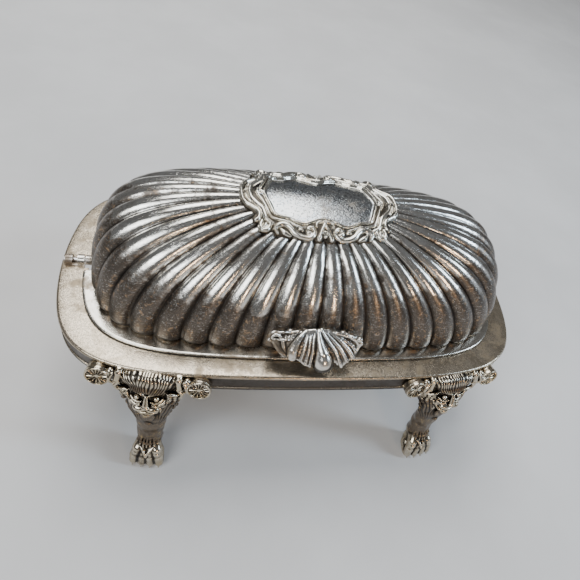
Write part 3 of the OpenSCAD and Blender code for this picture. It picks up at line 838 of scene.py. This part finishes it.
    # mane at the sides, sweeping out under the rolls and falling to the leg
    for s in (-1, 1):
        for i in range(5):
            t = i / 4.0
            f.line([(s * (7.3 + 0.4 * t), -3.8 + 0.2 * t, 53.6 - 6.2 * t), (s * (8.9 + 0.2 * t), -3.4 + 0.4 * t, 53.2 - 7.0 * t), (s * (10.4 - 0.4 * t), -2.8 + 0.5 * t, 52.4 - 7.4 * t), (s * (11.6 - 1.2 * t), -2.0 + 0.6 * t, 52.4 - 8.2 * t)], [0.4, 0.68, 0.7, 0.35], 0.06)
        for i in range(6):
            t = i / 5.0
            f.line([(s * (7.4 - 2.6 * t), -3.2 - 2.0 * t, 46.6 - 3.4 * t), (s * (8.4 - 3.5 * t), -2.8 - 2.0 * t, 43.0 - 3.4 * t), (s * (7.7 - 3.8 * t), -2.9 - 1.4 * t, 38.8 - 2.8 * t), (s * (6.3 - 3.7 * t), -3.5 - 0.8 * t, 34.8 - 1.8 * t), (s * (5.1 - 3.3 * t), -4.0 - 0.6 * t, 31.4 - 1.2 * t)], [0.4, 0.66, 0.68, 0.5, 0.25], 0.06)
        for i in range(9):
            z = 49.5 - 3.1 * i
            f.ball((s * float(np.interp(z, [24, 31, 36.5, 43, 49], [4.6, 5.6, 7.6, 10.2, 11.3])), float(np.interp(z, [24, 31, 38, 49], [-1.0, -1.9, -1.6, -1.2])), z), (0.75, 0.9, 0.95), 0.12)
    # beard tuft and curl under it
    for i in range(5):
        u = (i - 2) / 2.0
        f.line([(u * 2.0, -6.9 + 0.6 * abs(u), 41.2), (u * 2.3, -6.6 + 0.5 * abs(u), 38.6), (u * 1.3, -6.2, 35.6), (u * 0.4, -5.9, 33.4)], [0.4, 0.55, 0.48, 0.28], 0.12)
    f.ball((0, -6.0, 32.6), (1.6, 1.3, 1.4), 0.25)
    # leg: tendons and anklet
    f.line([(0, -5.4, 30), (0, -3.5, 21), (0, -3.3, 14)], [0.5, 0.35, 0.4], 0.9)
    for s in (-1, 1):
        f.line([(s * 3.4, -4.6, 32), (s * 3.1, -2.4, 21), (s * 2.9, -2.6, 14)], [0.55, 0.4, 0.4], 0.8)
    for i in range(7):
        u = (i - 3) / 3.0
        f.line([(u * 3.7, -3.6 + 1.7 * u * u, 16.4), (u * 4.2, -4.6 + 2.0 * u * u, 14.2), (u * 4.5, -5.6 + 2.4 * u * u, 12.2)], [0.3, 0.55, 0.25], 0.5)
    # paw
    for i in range(4):
        u = i - 1.5
        f.line([(u * 1.5, -1.4, 11.6), (u * 2.5, -4.4, 9.6), (u * 3.3, -6.8 + 0.4 * abs(u), 6.2), (u * 3.6, -7.9 + 0.5 * abs(u), 2.8)], [3.0, 2.5, 2.15, 1.95], 0.4)
        f.line([(u * 2.6, -2.0, 3.0), (u * 3.4, -6.0, 2.2)], [2.6, 2.2], 0.5)
        f.ball((u * 2.9, -6.2, 8.9), (1.5, 1.4, 1.2), 0.6)
        f.cone((u * 3.65, -9.0 + 0.6 * abs(u), 2.7), (u * 3.75, -9.9 + 0.6 * abs(u), 1.0), 0.7, 0.35, 0.2)
    f.ball((0, -0.5, 4.4), (5.0, 4.6, 5.0), 1.5)
    for i in range(3):
        u = i - 1
        f.line([(u * 2.2, -6.4, 11.2), (u * 3.1, -8.4, 7.6), (u * 3.6, -9.7, 3.6), (u * 3.6, -9.9, 0.2)], [0.2, 0.45, 0.5, 0.5], 0.22, "cut")
    f.line([(-2.6, -5.2, 12.0), (-0.9, -7.0, 10.4), (0, -7.9, 8.4), (0.9, -7.0, 10.4), (2.6, -5.2, 12.0)], [0.3, 0.5, 0.65, 0.5, 0.3], 0.2)
    # soldered against the skirt, standing on the table
    f.add(lambda x, y, z: np.maximum(np.interp(x, lx, ly).astype(np.float32) + 0.12 - y, ZT - SKIRT - z), (-25.5, -3, 52.5), (25.5, 9.5, 63.2), 0, "cut")
    f.add(lambda x, y, z: (z + 0 * x + 0 * y), (-25.5, -12.8, -2), (25.5, 9.5, 0), 0, "cut")
    return f.mesh()


fv, ff, fw = foot_field()
fv[:, 2] = np.maximum(fv[:, 2], 0.0)
fv[:, 2] = np.where(fv[:, 2] > ZT - 0.35, ZT - 0.35, fv[:, 2])
pw = smooth((30 - fv[:, 2]) / 16)
fv[:, 0] -= PAW_SIDE * pw
fv[:, 1] -= PAW_OUT * pw
# the feet's 'low' attribute: brown stain, partly tarnish and partly painted shade on the leg under the face, on the
# back against the skirt and on the hair at the brow; the face front and the paw stay bright
foot_stain_and_shade = smooth((fv[:, 2] - 11) / 6) * smooth((50 - fv[:, 2] - 0.5 * fv[:, 1]) / 8)
foot_stain_and_shade = np.maximum(foot_stain_and_shade, smooth((fv[:, 1] + 1.0) / 3.0) * smooth((54 - fv[:, 2]) / 4))
foot_stain_and_shade *= 1 - 0.85 * smooth((-3.9 - fv[:, 1]) / 1.6) * smooth((fv[:, 2] - 38) / 6)
foot_stain_and_shade = np.maximum(foot_stain_and_shade, 0.25 * smooth((fv[:, 2] - 9) / 4))
lo_, hi_ = np.percentile(fw, [6, 94])
fcav = np.clip(1 - (fw - lo_) / (hi_ - lo_), 0, 1)
X_, Y_, Z_ = fv[:, 0].copy(), fv[:, 1].copy(), fv[:, 2].copy()
on_h = smooth((Z_ - 54.2 + 0.10 * np.abs(X_)) / 1.2) * smooth((10.4 - np.abs(X_)) / 1.0) * smooth((0.6 - Y_) / 0.8)
hp = np.sin(np.arctan2(X_, Z_ - 45.0) * 78 + 2.2 * np.sin(0.7 * Z_ + 0.5 * X_) + 1.8 * np.sin(0.8 * X_ - 0.5 * Z_))
on_m = smooth((np.abs(X_) - 5.6 + 0.28 * np.clip(48 - Z_, 0, 20)) / 1.4) * smooth((53.5 - Z_) / 2.0) * smooth((Z_ - 29) / 4) * smooth((0.4 - Y_) / 0.8) * (1 - smooth((-5.2 - Y_) / 0.9))
mp = np.sin(np.arctan2(X_, Z_ - 20.0) * 104 + 1.5 * np.sin(0.5 * Z_) + 0.9 * np.sin(1.1 * X_ + 0.4 * Z_))
comb = on_h * hp + on_m * mp * (1 - on_h)
fcav *= 1 - 0.55 * smooth((Z_ - 12.5) / 2) * smooth((33 - Z_) / 4)
fv[:, 1] += -0.14 * comb
fv[:, 2] += 0.07 * comb * on_h
wc = np.maximum(on_h, on_m)
# painted shade with stain on the hair, darkest near the brow
foot_stain_and_shade = np.maximum(foot_stain_and_shade, 0.50 * on_h * smooth((61.5 - Z_) / 5))
fcav = fcav * (1 - 0.75 * wc) + wc * np.clip(0.48 - 0.44 * comb + 0.25 * np.clip(fcav - 0.5, 0, 1), 0, 1) * 0.95

# spoked rosettes let into the drum ends, as closed discs on a fine polar grid
_ax = np.array((0, -math.cos(math.radians(10)), math.sin(math.radians(10))))
_up = np.array((0, math.sin(math.radians(10)), math.cos(math.radians(10))))
for sd in (-1, 1):
    cols, rings = 15 * 10, 12
    th_ = np.linspace(0, 2 * np.pi, cols, endpoint=False)
    rr_ = np.linspace(0.12, SR - 0.45, rings)
    rg = (0.5 + 0.5 * np.cos(15 * th_)) ** 2.2
    V_, C_ = [], []
    for r_ in rr_:
        lift = float(smooth((r_ - 0.5) / 0.9))
        h_ = -0.62 + 0.42 * rg * lift + 0.40 * (1 - lift)
        V_.append(np.array((sd * PITCH / 2, DY, ZS)) + np.outer(r_ * np.cos(th_), (1, 0, 0)) + np.outer(r_ * np.sin(th_), _up) + np.outer(h_, _ax))
        C_.append(np.where(lift > 0.3, 1 - rg, 0.2))
    V_.append(V_[-1] - 0.9 * _ax), C_.append(np.ones(cols))
    n0 = len(fv)
    V_, C_ = np.vstack(V_), np.concatenate(C_)
    q_ = []
    for r_ in range(rings):
        for c_ in range(cols):
            a_, b_ = r_ * cols + c_, r_ * cols + (c_ + 1) % cols
            q_ += [(a_, a_ + cols, b_ + cols), (a_, b_ + cols, b_)]
    top_, bot_ = len(V_), len(V_) + 1
    mid_ = np.array((sd * PITCH / 2, DY, ZS))
    V_ = np.vstack([V_, [mid_ - 0.18 * _ax, mid_ - 1.4 * _ax]])
    C_ = np.concatenate([C_, [0.2, 1.0]])
    for c_ in range(cols):
        q_ += [(top_, c_, (c_ + 1) % cols), (bot_, rings * cols + (c_ + 1) % cols, rings * cols + c_)]
    q_ = np.array(q_)
    if ff.shape[1] == 4:
        q_ = np.column_stack([q_, q_[:, 2]])
    fv, ff = np.vstack([fv, V_]), np.vstack([ff, q_ + n0])
    fcav, foot_stain_and_shade = np.concatenate([fcav, C_]), np.concatenate([foot_stain_and_shade, np.zeros(len(V_))])
ca, sa = math.cos(math.radians(-TURN)), math.sin(math.radians(-TURN))
fw_ = np.column_stack([-FX + ca * fv[:, 0] - sa * fv[:, 1], -FY + sa * fv[:, 0] + ca * fv[:, 1], fv[:, 2]])
for nm, sx, sy in (("front_left", 1, 1), ("front_right", -1, 1), ("rear_left", 1, -1), ("rear_right", -1, -1)):
    ob = mk("foot_" + nm + "_cast", fw_ * np.array([sx, sy, 1]), ff if sx * sy > 0 else ff[:, ::-1], {"cav": fcav, "low": foot_stain_and_shade})
    ob.data.materials.append(M_FOOT)
    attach(ob, "base"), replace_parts(ob, "foot_" + nm), ob

# ------------------------------------------------------------------ thumb piece
th = Field((-22.5, -57.5, 61.5), (19.5, -39.5, 82.0), 0.22)
RIBS = [
    ([(-17.9, -46.3, 73.3), (-15.8, -48.6, 71.4), (-13.6, -50.6, 70.0)], [0.5, 0.55, 0.35]),
    ([(-14.6, -46.4, 75.2), (-14.0, -47.8, 73.2), (-12.7, -49.5, 71.3)], [0.7, 0.9, 0.6]),
    ([(-6.2, -44.4, 77.4), (-8.6, -46.8, 76.0), (-10.7, -49.6, 73.2), (-10.6, -51.0, 70.6)], [0.8, 1.2, 2.0, 1.8]),
    ([(-4.6, -44.6, 78.0), (-5.3, -46.7, 76.6), (-6.3, -49.6, 73.2), (-7.3, -51.8, 69.3)], [0.5, 0.6, 0.6, 0.6]),
    ([(-3.4, -44.6, 78.2), (-4.0, -46.7, 76.6), (-4.5, -50.0, 72.6), (-5.3, -52.8, 68.0)], [0.4, 0.55, 0.6, 0.55]),
    ([(-2.2, -44.6, 78.3), (-2.6, -46.6, 76.4), (-2.8, -50.2, 72.4), (-3.3, -53.2, 67.6)], [0.4, 0.6, 0.65, 0.6]),
    ([(-0.9, -44.6, 78.0), (-0.6, -46.4, 76.6), (0.1, -48.6, 74.6), (1.0, -50.4, 72.6)], [0.8, 1.1, 1.7, 2.6]),
    ([(0.2, -44.4, 78.6), (2.6, -47.1, 76.4), (5.9, -50.0, 73.4), (8.6, -52.6, 69.0), (9.4, -53.2, 67.3)], [0.5, 0.6, 0.65, 0.65, 0.6]),
    ([(1.6, -44.6, 78.4), (4.8, -47.0, 76.3), (8.4, -49.6, 73.6), (11.4, -52.0, 69.6)], [0.5, 0.7, 0.75, 0.7]),
    ([(3.2, -44.6, 78.4), (7.4, -46.8, 76.3), (11.2, -49.2, 73.6), (13.6, -51.0, 70.8)], [0.5, 0.8, 0.95, 0.85]),
]


def curve(pts, n=5):
    q = np.array(pts, float)
    P_ = np.vstack([2 * q[0] - q[1], q, 2 * q[-1] - q[-2]])
    out = []
    for i in range(len(q) - 1):
        p0, p1, p2, p3 = P_[i:i + 4]
        for v in np.linspace(0, 1, n, endpoint=False):
            out.append(0.5 * ((2 * p1) + (-p0 + p2) * v + (2 * p0 - 5 * p1 + 4 * p2 - p3) * v ** 2 + (-p0 + 3 * p1 - 3 * p2 + p3) * v ** 3))
    return np.array(out + [q[-1]])


RIBS = [(curve(p_), np.interp(np.linspace(0, 1, (len(p_) - 1) * 5 + 1), np.linspace(0, 1, len(r_)), r_)) for p_, r_ in RIBS]
prev = None
for pts, rad in RIBS:
    q = np.array(pts)
    if prev is not None:
        for t in np.linspace(0, 1, 7):
            n_ = 10
            a_ = np.stack([np.interp(np.linspace(0, 1, n_), np.linspace(0, 1, len(prev)), prev[:, k]) for k in range(3)], -1)
            b_ = np.stack([np.interp(np.linspace(0, 1, n_), np.linspace(0, 1, len(q)), q[:, k]) for k in range(3)], -1)
            m_ = a_ * (1 - t) + b_ * t + np.array([0, 0.62, -0.2])
            th.line(m_, 0.75, 0.25)
    prev = q
for pts, rad in RIBS:
    th.line(pts, rad, 0.12)
# root along the dome, with its solder
th.line([(-17.0, -43.6, 74.0), (-12.0, -43.2, 74.6), (-6, -43.0, 74.9), (0, -43.0, 75.1), (6, -43.0, 74.8), (12.0, -43.3, 74.2), (15.0, -43.9, 73.4)], [1.3, 1.4, 1.4, 1.4, 1.4, 1.4, 1.2], 0.9)
th.line(curve([(-17.4, -44.8, 77.2), (-14.6, -44.9, 78.0), (-11.6, -44.4, 77.3), (-8.8, -44.2, 77.8)]), 0.42, 0.12)
th.line(curve([(-16.4, -46.4, 75.2), (-13.4, -46.8, 75.5), (-10.6, -46.0, 74.8), (-8.0, -45.4, 76.0)]), 0.45, 0.12)
# volute at the left, leaf lumps at the right
sp = [(-17.6 + (0.5 + 2.3 * (1 - t)) * math.cos(4.0 + 7.5 * t), -45.4 - 0.9 * t, 75.8 + (0.5 + 2.3 * (1 - t)) * math.sin(4.0 + 7.5 * t)) for t in np.linspace(0, 1, 16)]
th.line(sp, [0.75 - 0.02 * i for i in range(16)], 0.1)
th.ball((-17.6, -44.6, 75.8), (2.4, 1.0, 2.4), 0.3)
th.line([(6.0, -44.9, 78.2), (10.4, -45.4, 77.6), (14.4, -46.2, 76.0), (16.0, -47.2, 73.6), (15.0, -48.8, 71.6)], [0.6, 0.95, 1.0, 0.9, 0.6], 0.15)
th.line([(5.0, -44.8, 78.0), (9.4, -46.4, 75.9), (12.9, -47.9, 74.4), (14.6, -49.4, 72.2)], [0.5, 0.7, 0.8, 0.6], 0.15)
th.ball((13.0, -45.2, 76.0), (3.0, 1.6, 1.8), 0.5)
th.ball((15.6, -46.6, 76.6), (1.3, 1.1, 1.2), 0.2)
th.ball((12.2, -46.2, 77.6), (1.2, 1.0, 0.9), 0.2)
th.ball((16.4, -47.0, 74.4), (1.2, 1.0, 1.5), 0.2)
for u, z_, r_ in ((-11.5, 76.4, 1.0), (-8.0, 76.2, 0.7), (-2.6, 76.6, 1.0), (3.4, 76.6, 0.9), (9.6, 76.2, 1.1), (12.6, 75.6, 0.8)):
    th.ball((u, -43.2, z_), (1.3 * r_, 1.2, 0.8 * r_), 0.5)
# the round boss in the middle, drawn out to a tail above
th.line(curve([(-0.3, -47.6, 75.0), (0.6, -49.8, 72.8), (1.4, -51.2, 70.6), (1.7, -52.0, 69.0)]), np.interp(np.linspace(0, 1, 16), [0, 0.33, 0.66, 1], [1.1, 2.1, 3.1, 3.6]), 0.5)
th.ball((1.9, -53.0, 67.9), (4.1, 2.7, 3.4), 0.25)
# neck down to the rim of the lid
th.cone((0.5, -48.5, 69.5), (0.5, -45.4, 64.4), 2.4, 1.6, 0.6)
tv, tf, tw = th.mesh()
tv[:, 2] = np.maximum(tv[:, 2], ZT + 0.3)
lo_, hi_ = np.percentile(tw, [6, 94])
thumb_cav_and_shade = np.clip(1 - (tw - lo_) / (hi_ - lo_), 0, 1)
# painted highlight and shade on the boss: kept light where it faces up and forward, darkened to near-black towards its
# edges
bd = (tv - np.array((1.9, -53.0, 67.9))) / np.array((4.1, 2.7, 3.4))
br = np.sqrt((bd ** 2).sum(1))
on_b = 1 - smooth((br - 1.02) / 0.10)
off_highlight = 1 - (bd / np.maximum(br, 1e-6)[:, None]) @ np.array((-0.20, -0.55, 0.81))
thumb_cav_and_shade = thumb_cav_and_shade * (1 - on_b) + on_b * 0.92 * smooth((off_highlight - 0.06) / 0.34)
thumb = mk("thumb_piece_shell", tv, tf, {"cav": thumb_cav_and_shade})
thumb.data.materials.append(M_ORN)
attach(thumb, "lid"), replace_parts(thumb, "thumb_piece"), thumb

# ------------------------------------------------------------------ cartouche
CX, CY = -0.7, -0.6
strokes = []


def stroke(pts, w, h, n=5):
    """A raised line on the cartouche; pts is in the positive quarter, w half width, h height."""
    q = np.array(pts, float)
    t = np.linspace(0, 1, len(q))
    s = np.linspace(0, 1, (len(q) - 1) * n + 1)
    if len(q) > 3:      # Catmull-Rom through the points
        P_ = np.vstack([2 * q[0] - q[1], q, 2 * q[-1] - q[-2]])
        out = []
        for i in range(len(q) - 1):
            p0, p1, p2, p3 = P_[i:i + 4]
            for v in np.linspace(0, 1, n, endpoint=False):
                out.append(0.5 * ((2 * p1) + (-p0 + p2) * v + (2 * p0 - 5 * p1 + 4 * p2 - p3) * v ** 2 + (-p0 + 3 * p1 - 3 * p2 + p3) * v ** 3))
        out.append(q[-1])
        q = np.array(out)
    ww = np.interp(np.linspace(0, 1, len(q)), np.linspace(0, 1, np.size(w)), np.atleast_1d(w))
    hh = np.interp(np.linspace(0, 1, len(q)), np.linspace(0, 1, np.size(h)), np.atleast_1d(h))
    strokes.append((q, ww, hh))


def arc_pts(c, r0, r1, a0, a1, n=12):
    t = np.linspace(0, 1, n)
    a = np.radians(a0 + (a1 - a0) * t)
    r = r0 + (r1 - r0) * t
    return np.column_stack([c[0] + r * np.cos(a), c[1] + r * np.sin(a)])


INNER = [(0, 10.4), (2.8, 10.9), (5.2, 11.9), (8.1, 12.8), (10.8, 12.2), (13.6, 11.0), (16.8, 10.3), (18.5, 9.5), (19.6, 7.4), (20.5, 4.8), (21.3, 3.0), (21.9, 1.2), (22.1, 0)]
stroke([(22.7, 0.5), (21.9, 3.2), (21.2, 5.0), (20.3, 7.7), (19.2, 10.1), (16.9, 11.0), (13.7, 11.7), (10.9, 12.9), (8.1, 13.5), (5.1, 12.5), (2.7, 11.5), (0, 11.0)], 0.50, 0.95)
stroke([(25.1, 1.6), (23.7, 4.1), (22.5, 7.0), (21.4, 9.7), (20.3, 11.8), (17.4, 12.7), (14.2, 13.2), (11.4, 14.4), (9.3, 15.2)], 0.42, 0.8)
stroke([(28.4, 0.0), (27.6, 3.6), (25.6, 6.2), (23.7, 8.3), (22.9, 10.4), (22.0, 12.8), (19.6, 14.3)], [0.7, 0.8, 0.85, 0.75, 0.55], [1.2, 1.3, 1.35, 1.2, 0.8])
stroke([(31.4, 0.0), (31.0, 3.8), (29.6, 6.2), (27.6, 7.5), (25.8, 8.8), (24.8, 10.6), (25.2, 12.4), (26.2, 13.2)], [0.6, 0.65, 0.6, 0.6, 0.55], [1.0, 1.1, 1.05, 1.0, 0.8])
stroke([(29.8, 1.0), (29.3, 3.6), (28.0, 5.4)], 0.3, 0.6)
stroke(arc_pts((24.6, 0.0), 1.3, 0.5, 175, -120, 12), [0.45, 0.5, 0.6], [0.7, 0.95, 1.1])
stroke([(23.9, 13.6), (24.5, 15.4), (23.6, 16.9), (21.8, 16.4), (20.9, 14.9)], [0.6, 0.75, 0.75, 0.6], [0.9, 1.2, 1.2, 0.9])
stroke([(22.4, 14.6), (22.8, 15.4)], 0.5, 0.8)
stroke([(18.3, 17.7), (18.9, 15.9), (17.0, 14.4), (14.7, 14.5), (12.9, 15.7), (11.7, 17.2), (9.4, 18.5), (6.3, 18.9), (4.5, 17.5), (4.2, 15.8), (5.3, 14.9), (6.7, 15.4), (6.8, 16.7), (5.9, 17.1)], [0.5, 0.75, 0.85, 0.9, 0.9, 0.8, 0.7, 0.6, 0.6, 0.6], [0.8, 1.15, 1.3, 1.3, 1.2, 1.2, 1.1, 1.1, 1.1, 1.2])
stroke([(16.9, 16.2), (15.6, 17.4), (13.6, 18.4)], [0.4, 0.7, 0.4], [0.6, 0.9, 0.6])
stroke([(8.9, 16.1), (9.9, 15.9)], 0.4, 0.6)
stroke([(0.1, 13.2), (1.0, 14.9), (1.7, 16.8), (2.5, 18.8)], [0.6, 0.55, 0.6, 0.7], [1.0, 0.95, 1.0, 1.0])
stroke([(0, 16.4), (0, 17.8)], 0.6, 0.8)
stroke([(3.4, 14.4), (3.1, 12.9), (1.6, 12.3), (0, 12.2)], 0.4, 0.85)
OUTER = [(0, 19.4), (1.4, 20.1), (3.3, 20.0), (4.4, 19.0), (6.3, 19.9), (9.6, 19.5), (12.2, 18.6), (13.8, 19.3), (16.0, 18.6), (18.4, 18.7), (20.0, 16.9), (22.0, 17.9), (24.6, 17.7), (25.6, 15.6), (25.5, 14.2), (27.3, 14.2), (27.5, 12.6), (26.3, 10.6), (28.4, 8.6), (30.4, 7.4), (31.9, 4.6), (32.3, 0.0)]


def radial(pts):
    q = np.array(pts, float)
    P_ = []
    for sx, sy, rev in ((1, 1, True), (-1, 1, False), (-1, -1, True), (1, -1, False)):
        w_ = q * np.array([sx, sy])
        P_.append(w_[::-1] if rev else w_)
    P_ = np.concatenate(P_)
    a = np.unwrap(np.arctan2(P_[:, 1], P_[:, 0]))
    d = np.linspace(0, 1, 5)[:-1]
    X_ = np.concatenate([P_[i] + (P_[(i + 1) % len(P_)] - P_[i]) * d[:, None] for i in range(len(P_))])
    an = np.arctan2(X_[:, 1], X_[:, 0])
    k_ = np.argsort(an)
    return an[k_], np.linalg.norm(X_, axis=1)[k_]


NCT = 840
th_ = np.linspace(-np.pi, np.pi, NCT, endpoint=False)
ia, ir = radial(INNER)
oa, orr = radial(OUTER)
r_in = np.interp(th_, ia, ir, period=2 * np.pi)
r_out = np.interp(th_, oa, orr, period=2 * np.pi)
rows = [np.full(NCT, 0.6)] + [r_in * v for v in np.linspace(0.08, 0.97, 14)]
rows += [r_in + (r_out - r_in) * v for v in np.linspace(0, 1, 58)]
NR1 = len(rows)
rad_ = np.stack(rows)
X_ = rad_ * np.cos(th_)
Y_ = rad_ * np.sin(th_)
ax_, ay_ = np.abs(X_), np.abs(Y_)
H = np.zeros_like(X_)
for q, ww, hh in strokes:
    best = np.zeros_like(H)
    for i in range(len(q) - 1):
        a_, b_ = q[i], q[i + 1]
        lo1, hi1 = np.minimum(a_, b_) - 1.6, np.maximum(a_, b_) + 1.6
        m_ = (ax_ > lo1[0]) & (ax_ < hi1[0]) & (ay_ > lo1[1]) & (ay_ < hi1[1])
        if not m_.any():
            continue
        px_, py_ = ax_[m_], ay_[m_]
        d_ = b_ - a_
        t_ = np.clip(((px_ - a_[0]) * d_[0] + (py_ - a_[1]) * d_[1]) / max(d_ @ d_, 1e-9), 0, 1)
        dist = np.hypot(px_ - a_[0] - d_[0] * t_, py_ - a_[1] - d_[1] * t_)
        w_ = ww[i] + (ww[i + 1] - ww[i]) * t_
        h_ = hh[i] + (hh[i + 1] - hh[i]) * t_
        prof_ = h_ * np.sqrt(np.clip(1 - (dist / (w_ * 1.35)) ** 2, 0, 1))
        best[m_] = np.maximum(best[m_], prof_)
    H = np.maximum(H, best)
frame_ = smooth((rad_ - r_in) / 0.7)
edge = np.clip((r_out - rad_) / 0.9, 0, 1)
Hh = 0.12 + frame_ * (0.26 + 0.05 * vnoise(np.stack([ax_, ay_, 0 * ax_], -1), 0.4, 11)) + H * np.minimum(1, frame_ + 0.15)
Hh = Hh * np.sqrt(1 - (1 - edge) ** 2)
cavc = np.clip(1 - (Hh - 0.30) / 0.70, 0, 1) * frame_
xy = np.stack([X_ + CX, Y_ + CY], -1)
s_ = dome(xy)
n_ = dome_n(s_)
V_ = s_ + n_ * Hh[..., None]
skirt_ = s_[-1] - n_[-1] * 1.7
under = [skirt_] + [dome(xy[i]) - dome_n(dome(xy[i])) * 1.7 for i in (NR1 - 12, 40, 15, 0)]
V_ = np.concatenate([V_] + [u[None] for u in under])
cavc = np.concatenate([cavc] + [np.full((1, NCT), 1.0)] * len(under))
R1 = V_.shape[0]
V_ = V_.reshape(-1, 3).copy()
V_[:, 2] += ZP
CF = grid_faces(R1, NCT, True, False).tolist()
c0_ = len(V_)
top_c = dome(np.array([[CX, CY]]))[0]
V_ = np.vstack([V_, top_c + [0, 0, ZP + 0.12], top_c + [0, 0, ZP - 1.7]])
CF += [[c0_, j, (j + 1) % NCT] for j in range(NCT)] + [[c0_ + 1, (R1 - 1) * NCT + (j + 1) % NCT, (R1 - 1) * NCT + j] for j in range(NCT)]
cart = mk("cartouche_chased", V_, CF, {"cav": np.concatenate([cavc.ravel(), [0, 1]])})
fix_normals(cart)
cart.data.materials.append(M_CART)
cart.data.materials.append(M_CARTF)
for p in cart.data.polygons:
    if min(p.vertices) >= 15 * NCT:
        p.material_index = 1
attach(cart, "lid"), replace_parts(cart, "cartouche"), cart

# ------------------------------------------------------------------ pivots: the frame's own pieces, with worn edges
for nm in ("pivot_bracket_left", "pivot_bracket_right", "lid_lug_left", "lid_lug_right", "pivot_pin_left", "pivot_pin_right"):
    ob = frame["nodes"][nm]
    md = ob.modifiers.new("edge", "BEVEL")
    md.width, md.segments, md.limit_method, md.angle_limit = 0.0002, 2, "ANGLE", math.radians(40)
    m = M_PIN if "pin" in nm.split("_")[1] else M_FIT
    for s in ob.material_slots:
        s.material = m
    if not ob.material_slots:
        ob.data.materials.append(m)

# ------------------------------------------------------------------ camera, floor and light
def camera():
    C = np.array([-47.342, -148.675, 221.521])
    yaw, pitch, roll, F, ox, oy = 0.3652, 0.8345, 0.3215, 479.139, 23.379, 7.154
    cy, sy = math.cos(yaw), math.sin(yaw)
    f = np.array([sy * math.cos(pitch), cy * math.cos(pitch), -math.sin(pitch)])
    r = np.array([cy, -sy, 0.0])
    u = np.cross(r, f)
    r2, u2 = math.cos(roll) * r + math.sin(roll) * u, -math.sin(roll) * r + math.cos(roll) * u
    cam = bpy.data.cameras.new("camera")
    cam.sensor_width, cam.lens = 36.0, F * 36.0 / 580
    cam.shift_x, cam.shift_y = -ox / 580, oy / 580
    cam.clip_start = 0.01
    ob = bpy.data.objects.new("camera", cam)
    M = Matrix.Identity(4)
    for i in range(3):
        M[i][0], M[i][1], M[i][2], M[i][3] = r2[i], u2[i], -f[i], C[i] * MM
    ob.matrix_world = M
    bpy.context.scene.collection.objects.link(ob)
    bpy.context.scene.camera = ob


camera()


def floor():
    n, s = 40, 1.6
    g = np.linspace(-s, s, n + 1)
    X, Y = np.meshgrid(g, g, indexing="ij")
    V = np.column_stack([X.ravel(), Y.ravel(), np.zeros(X.size)]) * 1000
    V[:, 2] -= 0.02
    i, j = np.meshgrid(np.arange(n), np.arange(n), indexing="ij")
    a = (i * (n + 1) + j).ravel()
    F = np.column_stack([a, a + n + 1, a + n + 2, a + 1])
    ob = mk("floor", V, F)
    m, nt, b = nodes_of("pale_floor")
    q = N(nt)
    o = q.obj()
    q.link(q.mix(q.ramp(q.noise(o, 9, 4, 0.6), 0.35, 0.7), (0.62, 0.61, 0.60), (0.68, 0.67, 0.66)), b.inputs["Base Color"])
    b.inputs["Roughness"].default_value = 0.7
    q.link(q.bump(q.noise(o, 500, 3, 0.6), 0.05, 0.0003), b.inputs["Normal"])
    ob.data.materials.append(m)


floor()


def area(name, loc, target, size, power, color=(1, 1, 1), size_y=None):
    l = bpy.data.lights.new(name, "AREA")
    l.energy, l.color, l.size = power, color, size
    if size_y:
        l.shape, l.size_y = "RECTANGLE", size_y
    ob = bpy.data.objects.new(name, l)
    ob.location = loc
    ob.rotation_euler = (Vector(target) - Vector(loc)).to_track_quat("-Z", "Y").to_euler()
    bpy.context.scene.collection.objects.link(ob)
    return ob


area("key_top", (-0.09, 0.54, 0.97), (-0.09, 0.54, 0.0), 0.64, 11.5, (0.99, 1.0, 1.0), 0.88)
area("sky_left", (-0.60, -0.60, 0.78), (0, 0, 0.06), 0.75, 7.5, (0.93, 0.97, 1.0), 0.45)
area("window_right", (0.80, -0.22, 0.50), (0, 0, 0.07), 0.16, 5.0, (0.66, 0.82, 1.0), 0.55)
area("lamp_warm", (0.22, -0.80, 0.26), (0, 0, 0.06), 0.09, 1.1, (1.0, 0.70, 0.44), 0.12)
w = bpy.data.worlds.new("studio")
w.use_nodes = True
w.node_tree.nodes["Background"].inputs[0].default_value = (0.50, 0.51, 0.53, 1)
w.node_tree.nodes["Background"].inputs[1].default_value = 0.28
bpy.context.scene.world = w
bpy.context.scene.view_settings.view_transform = "AgX"
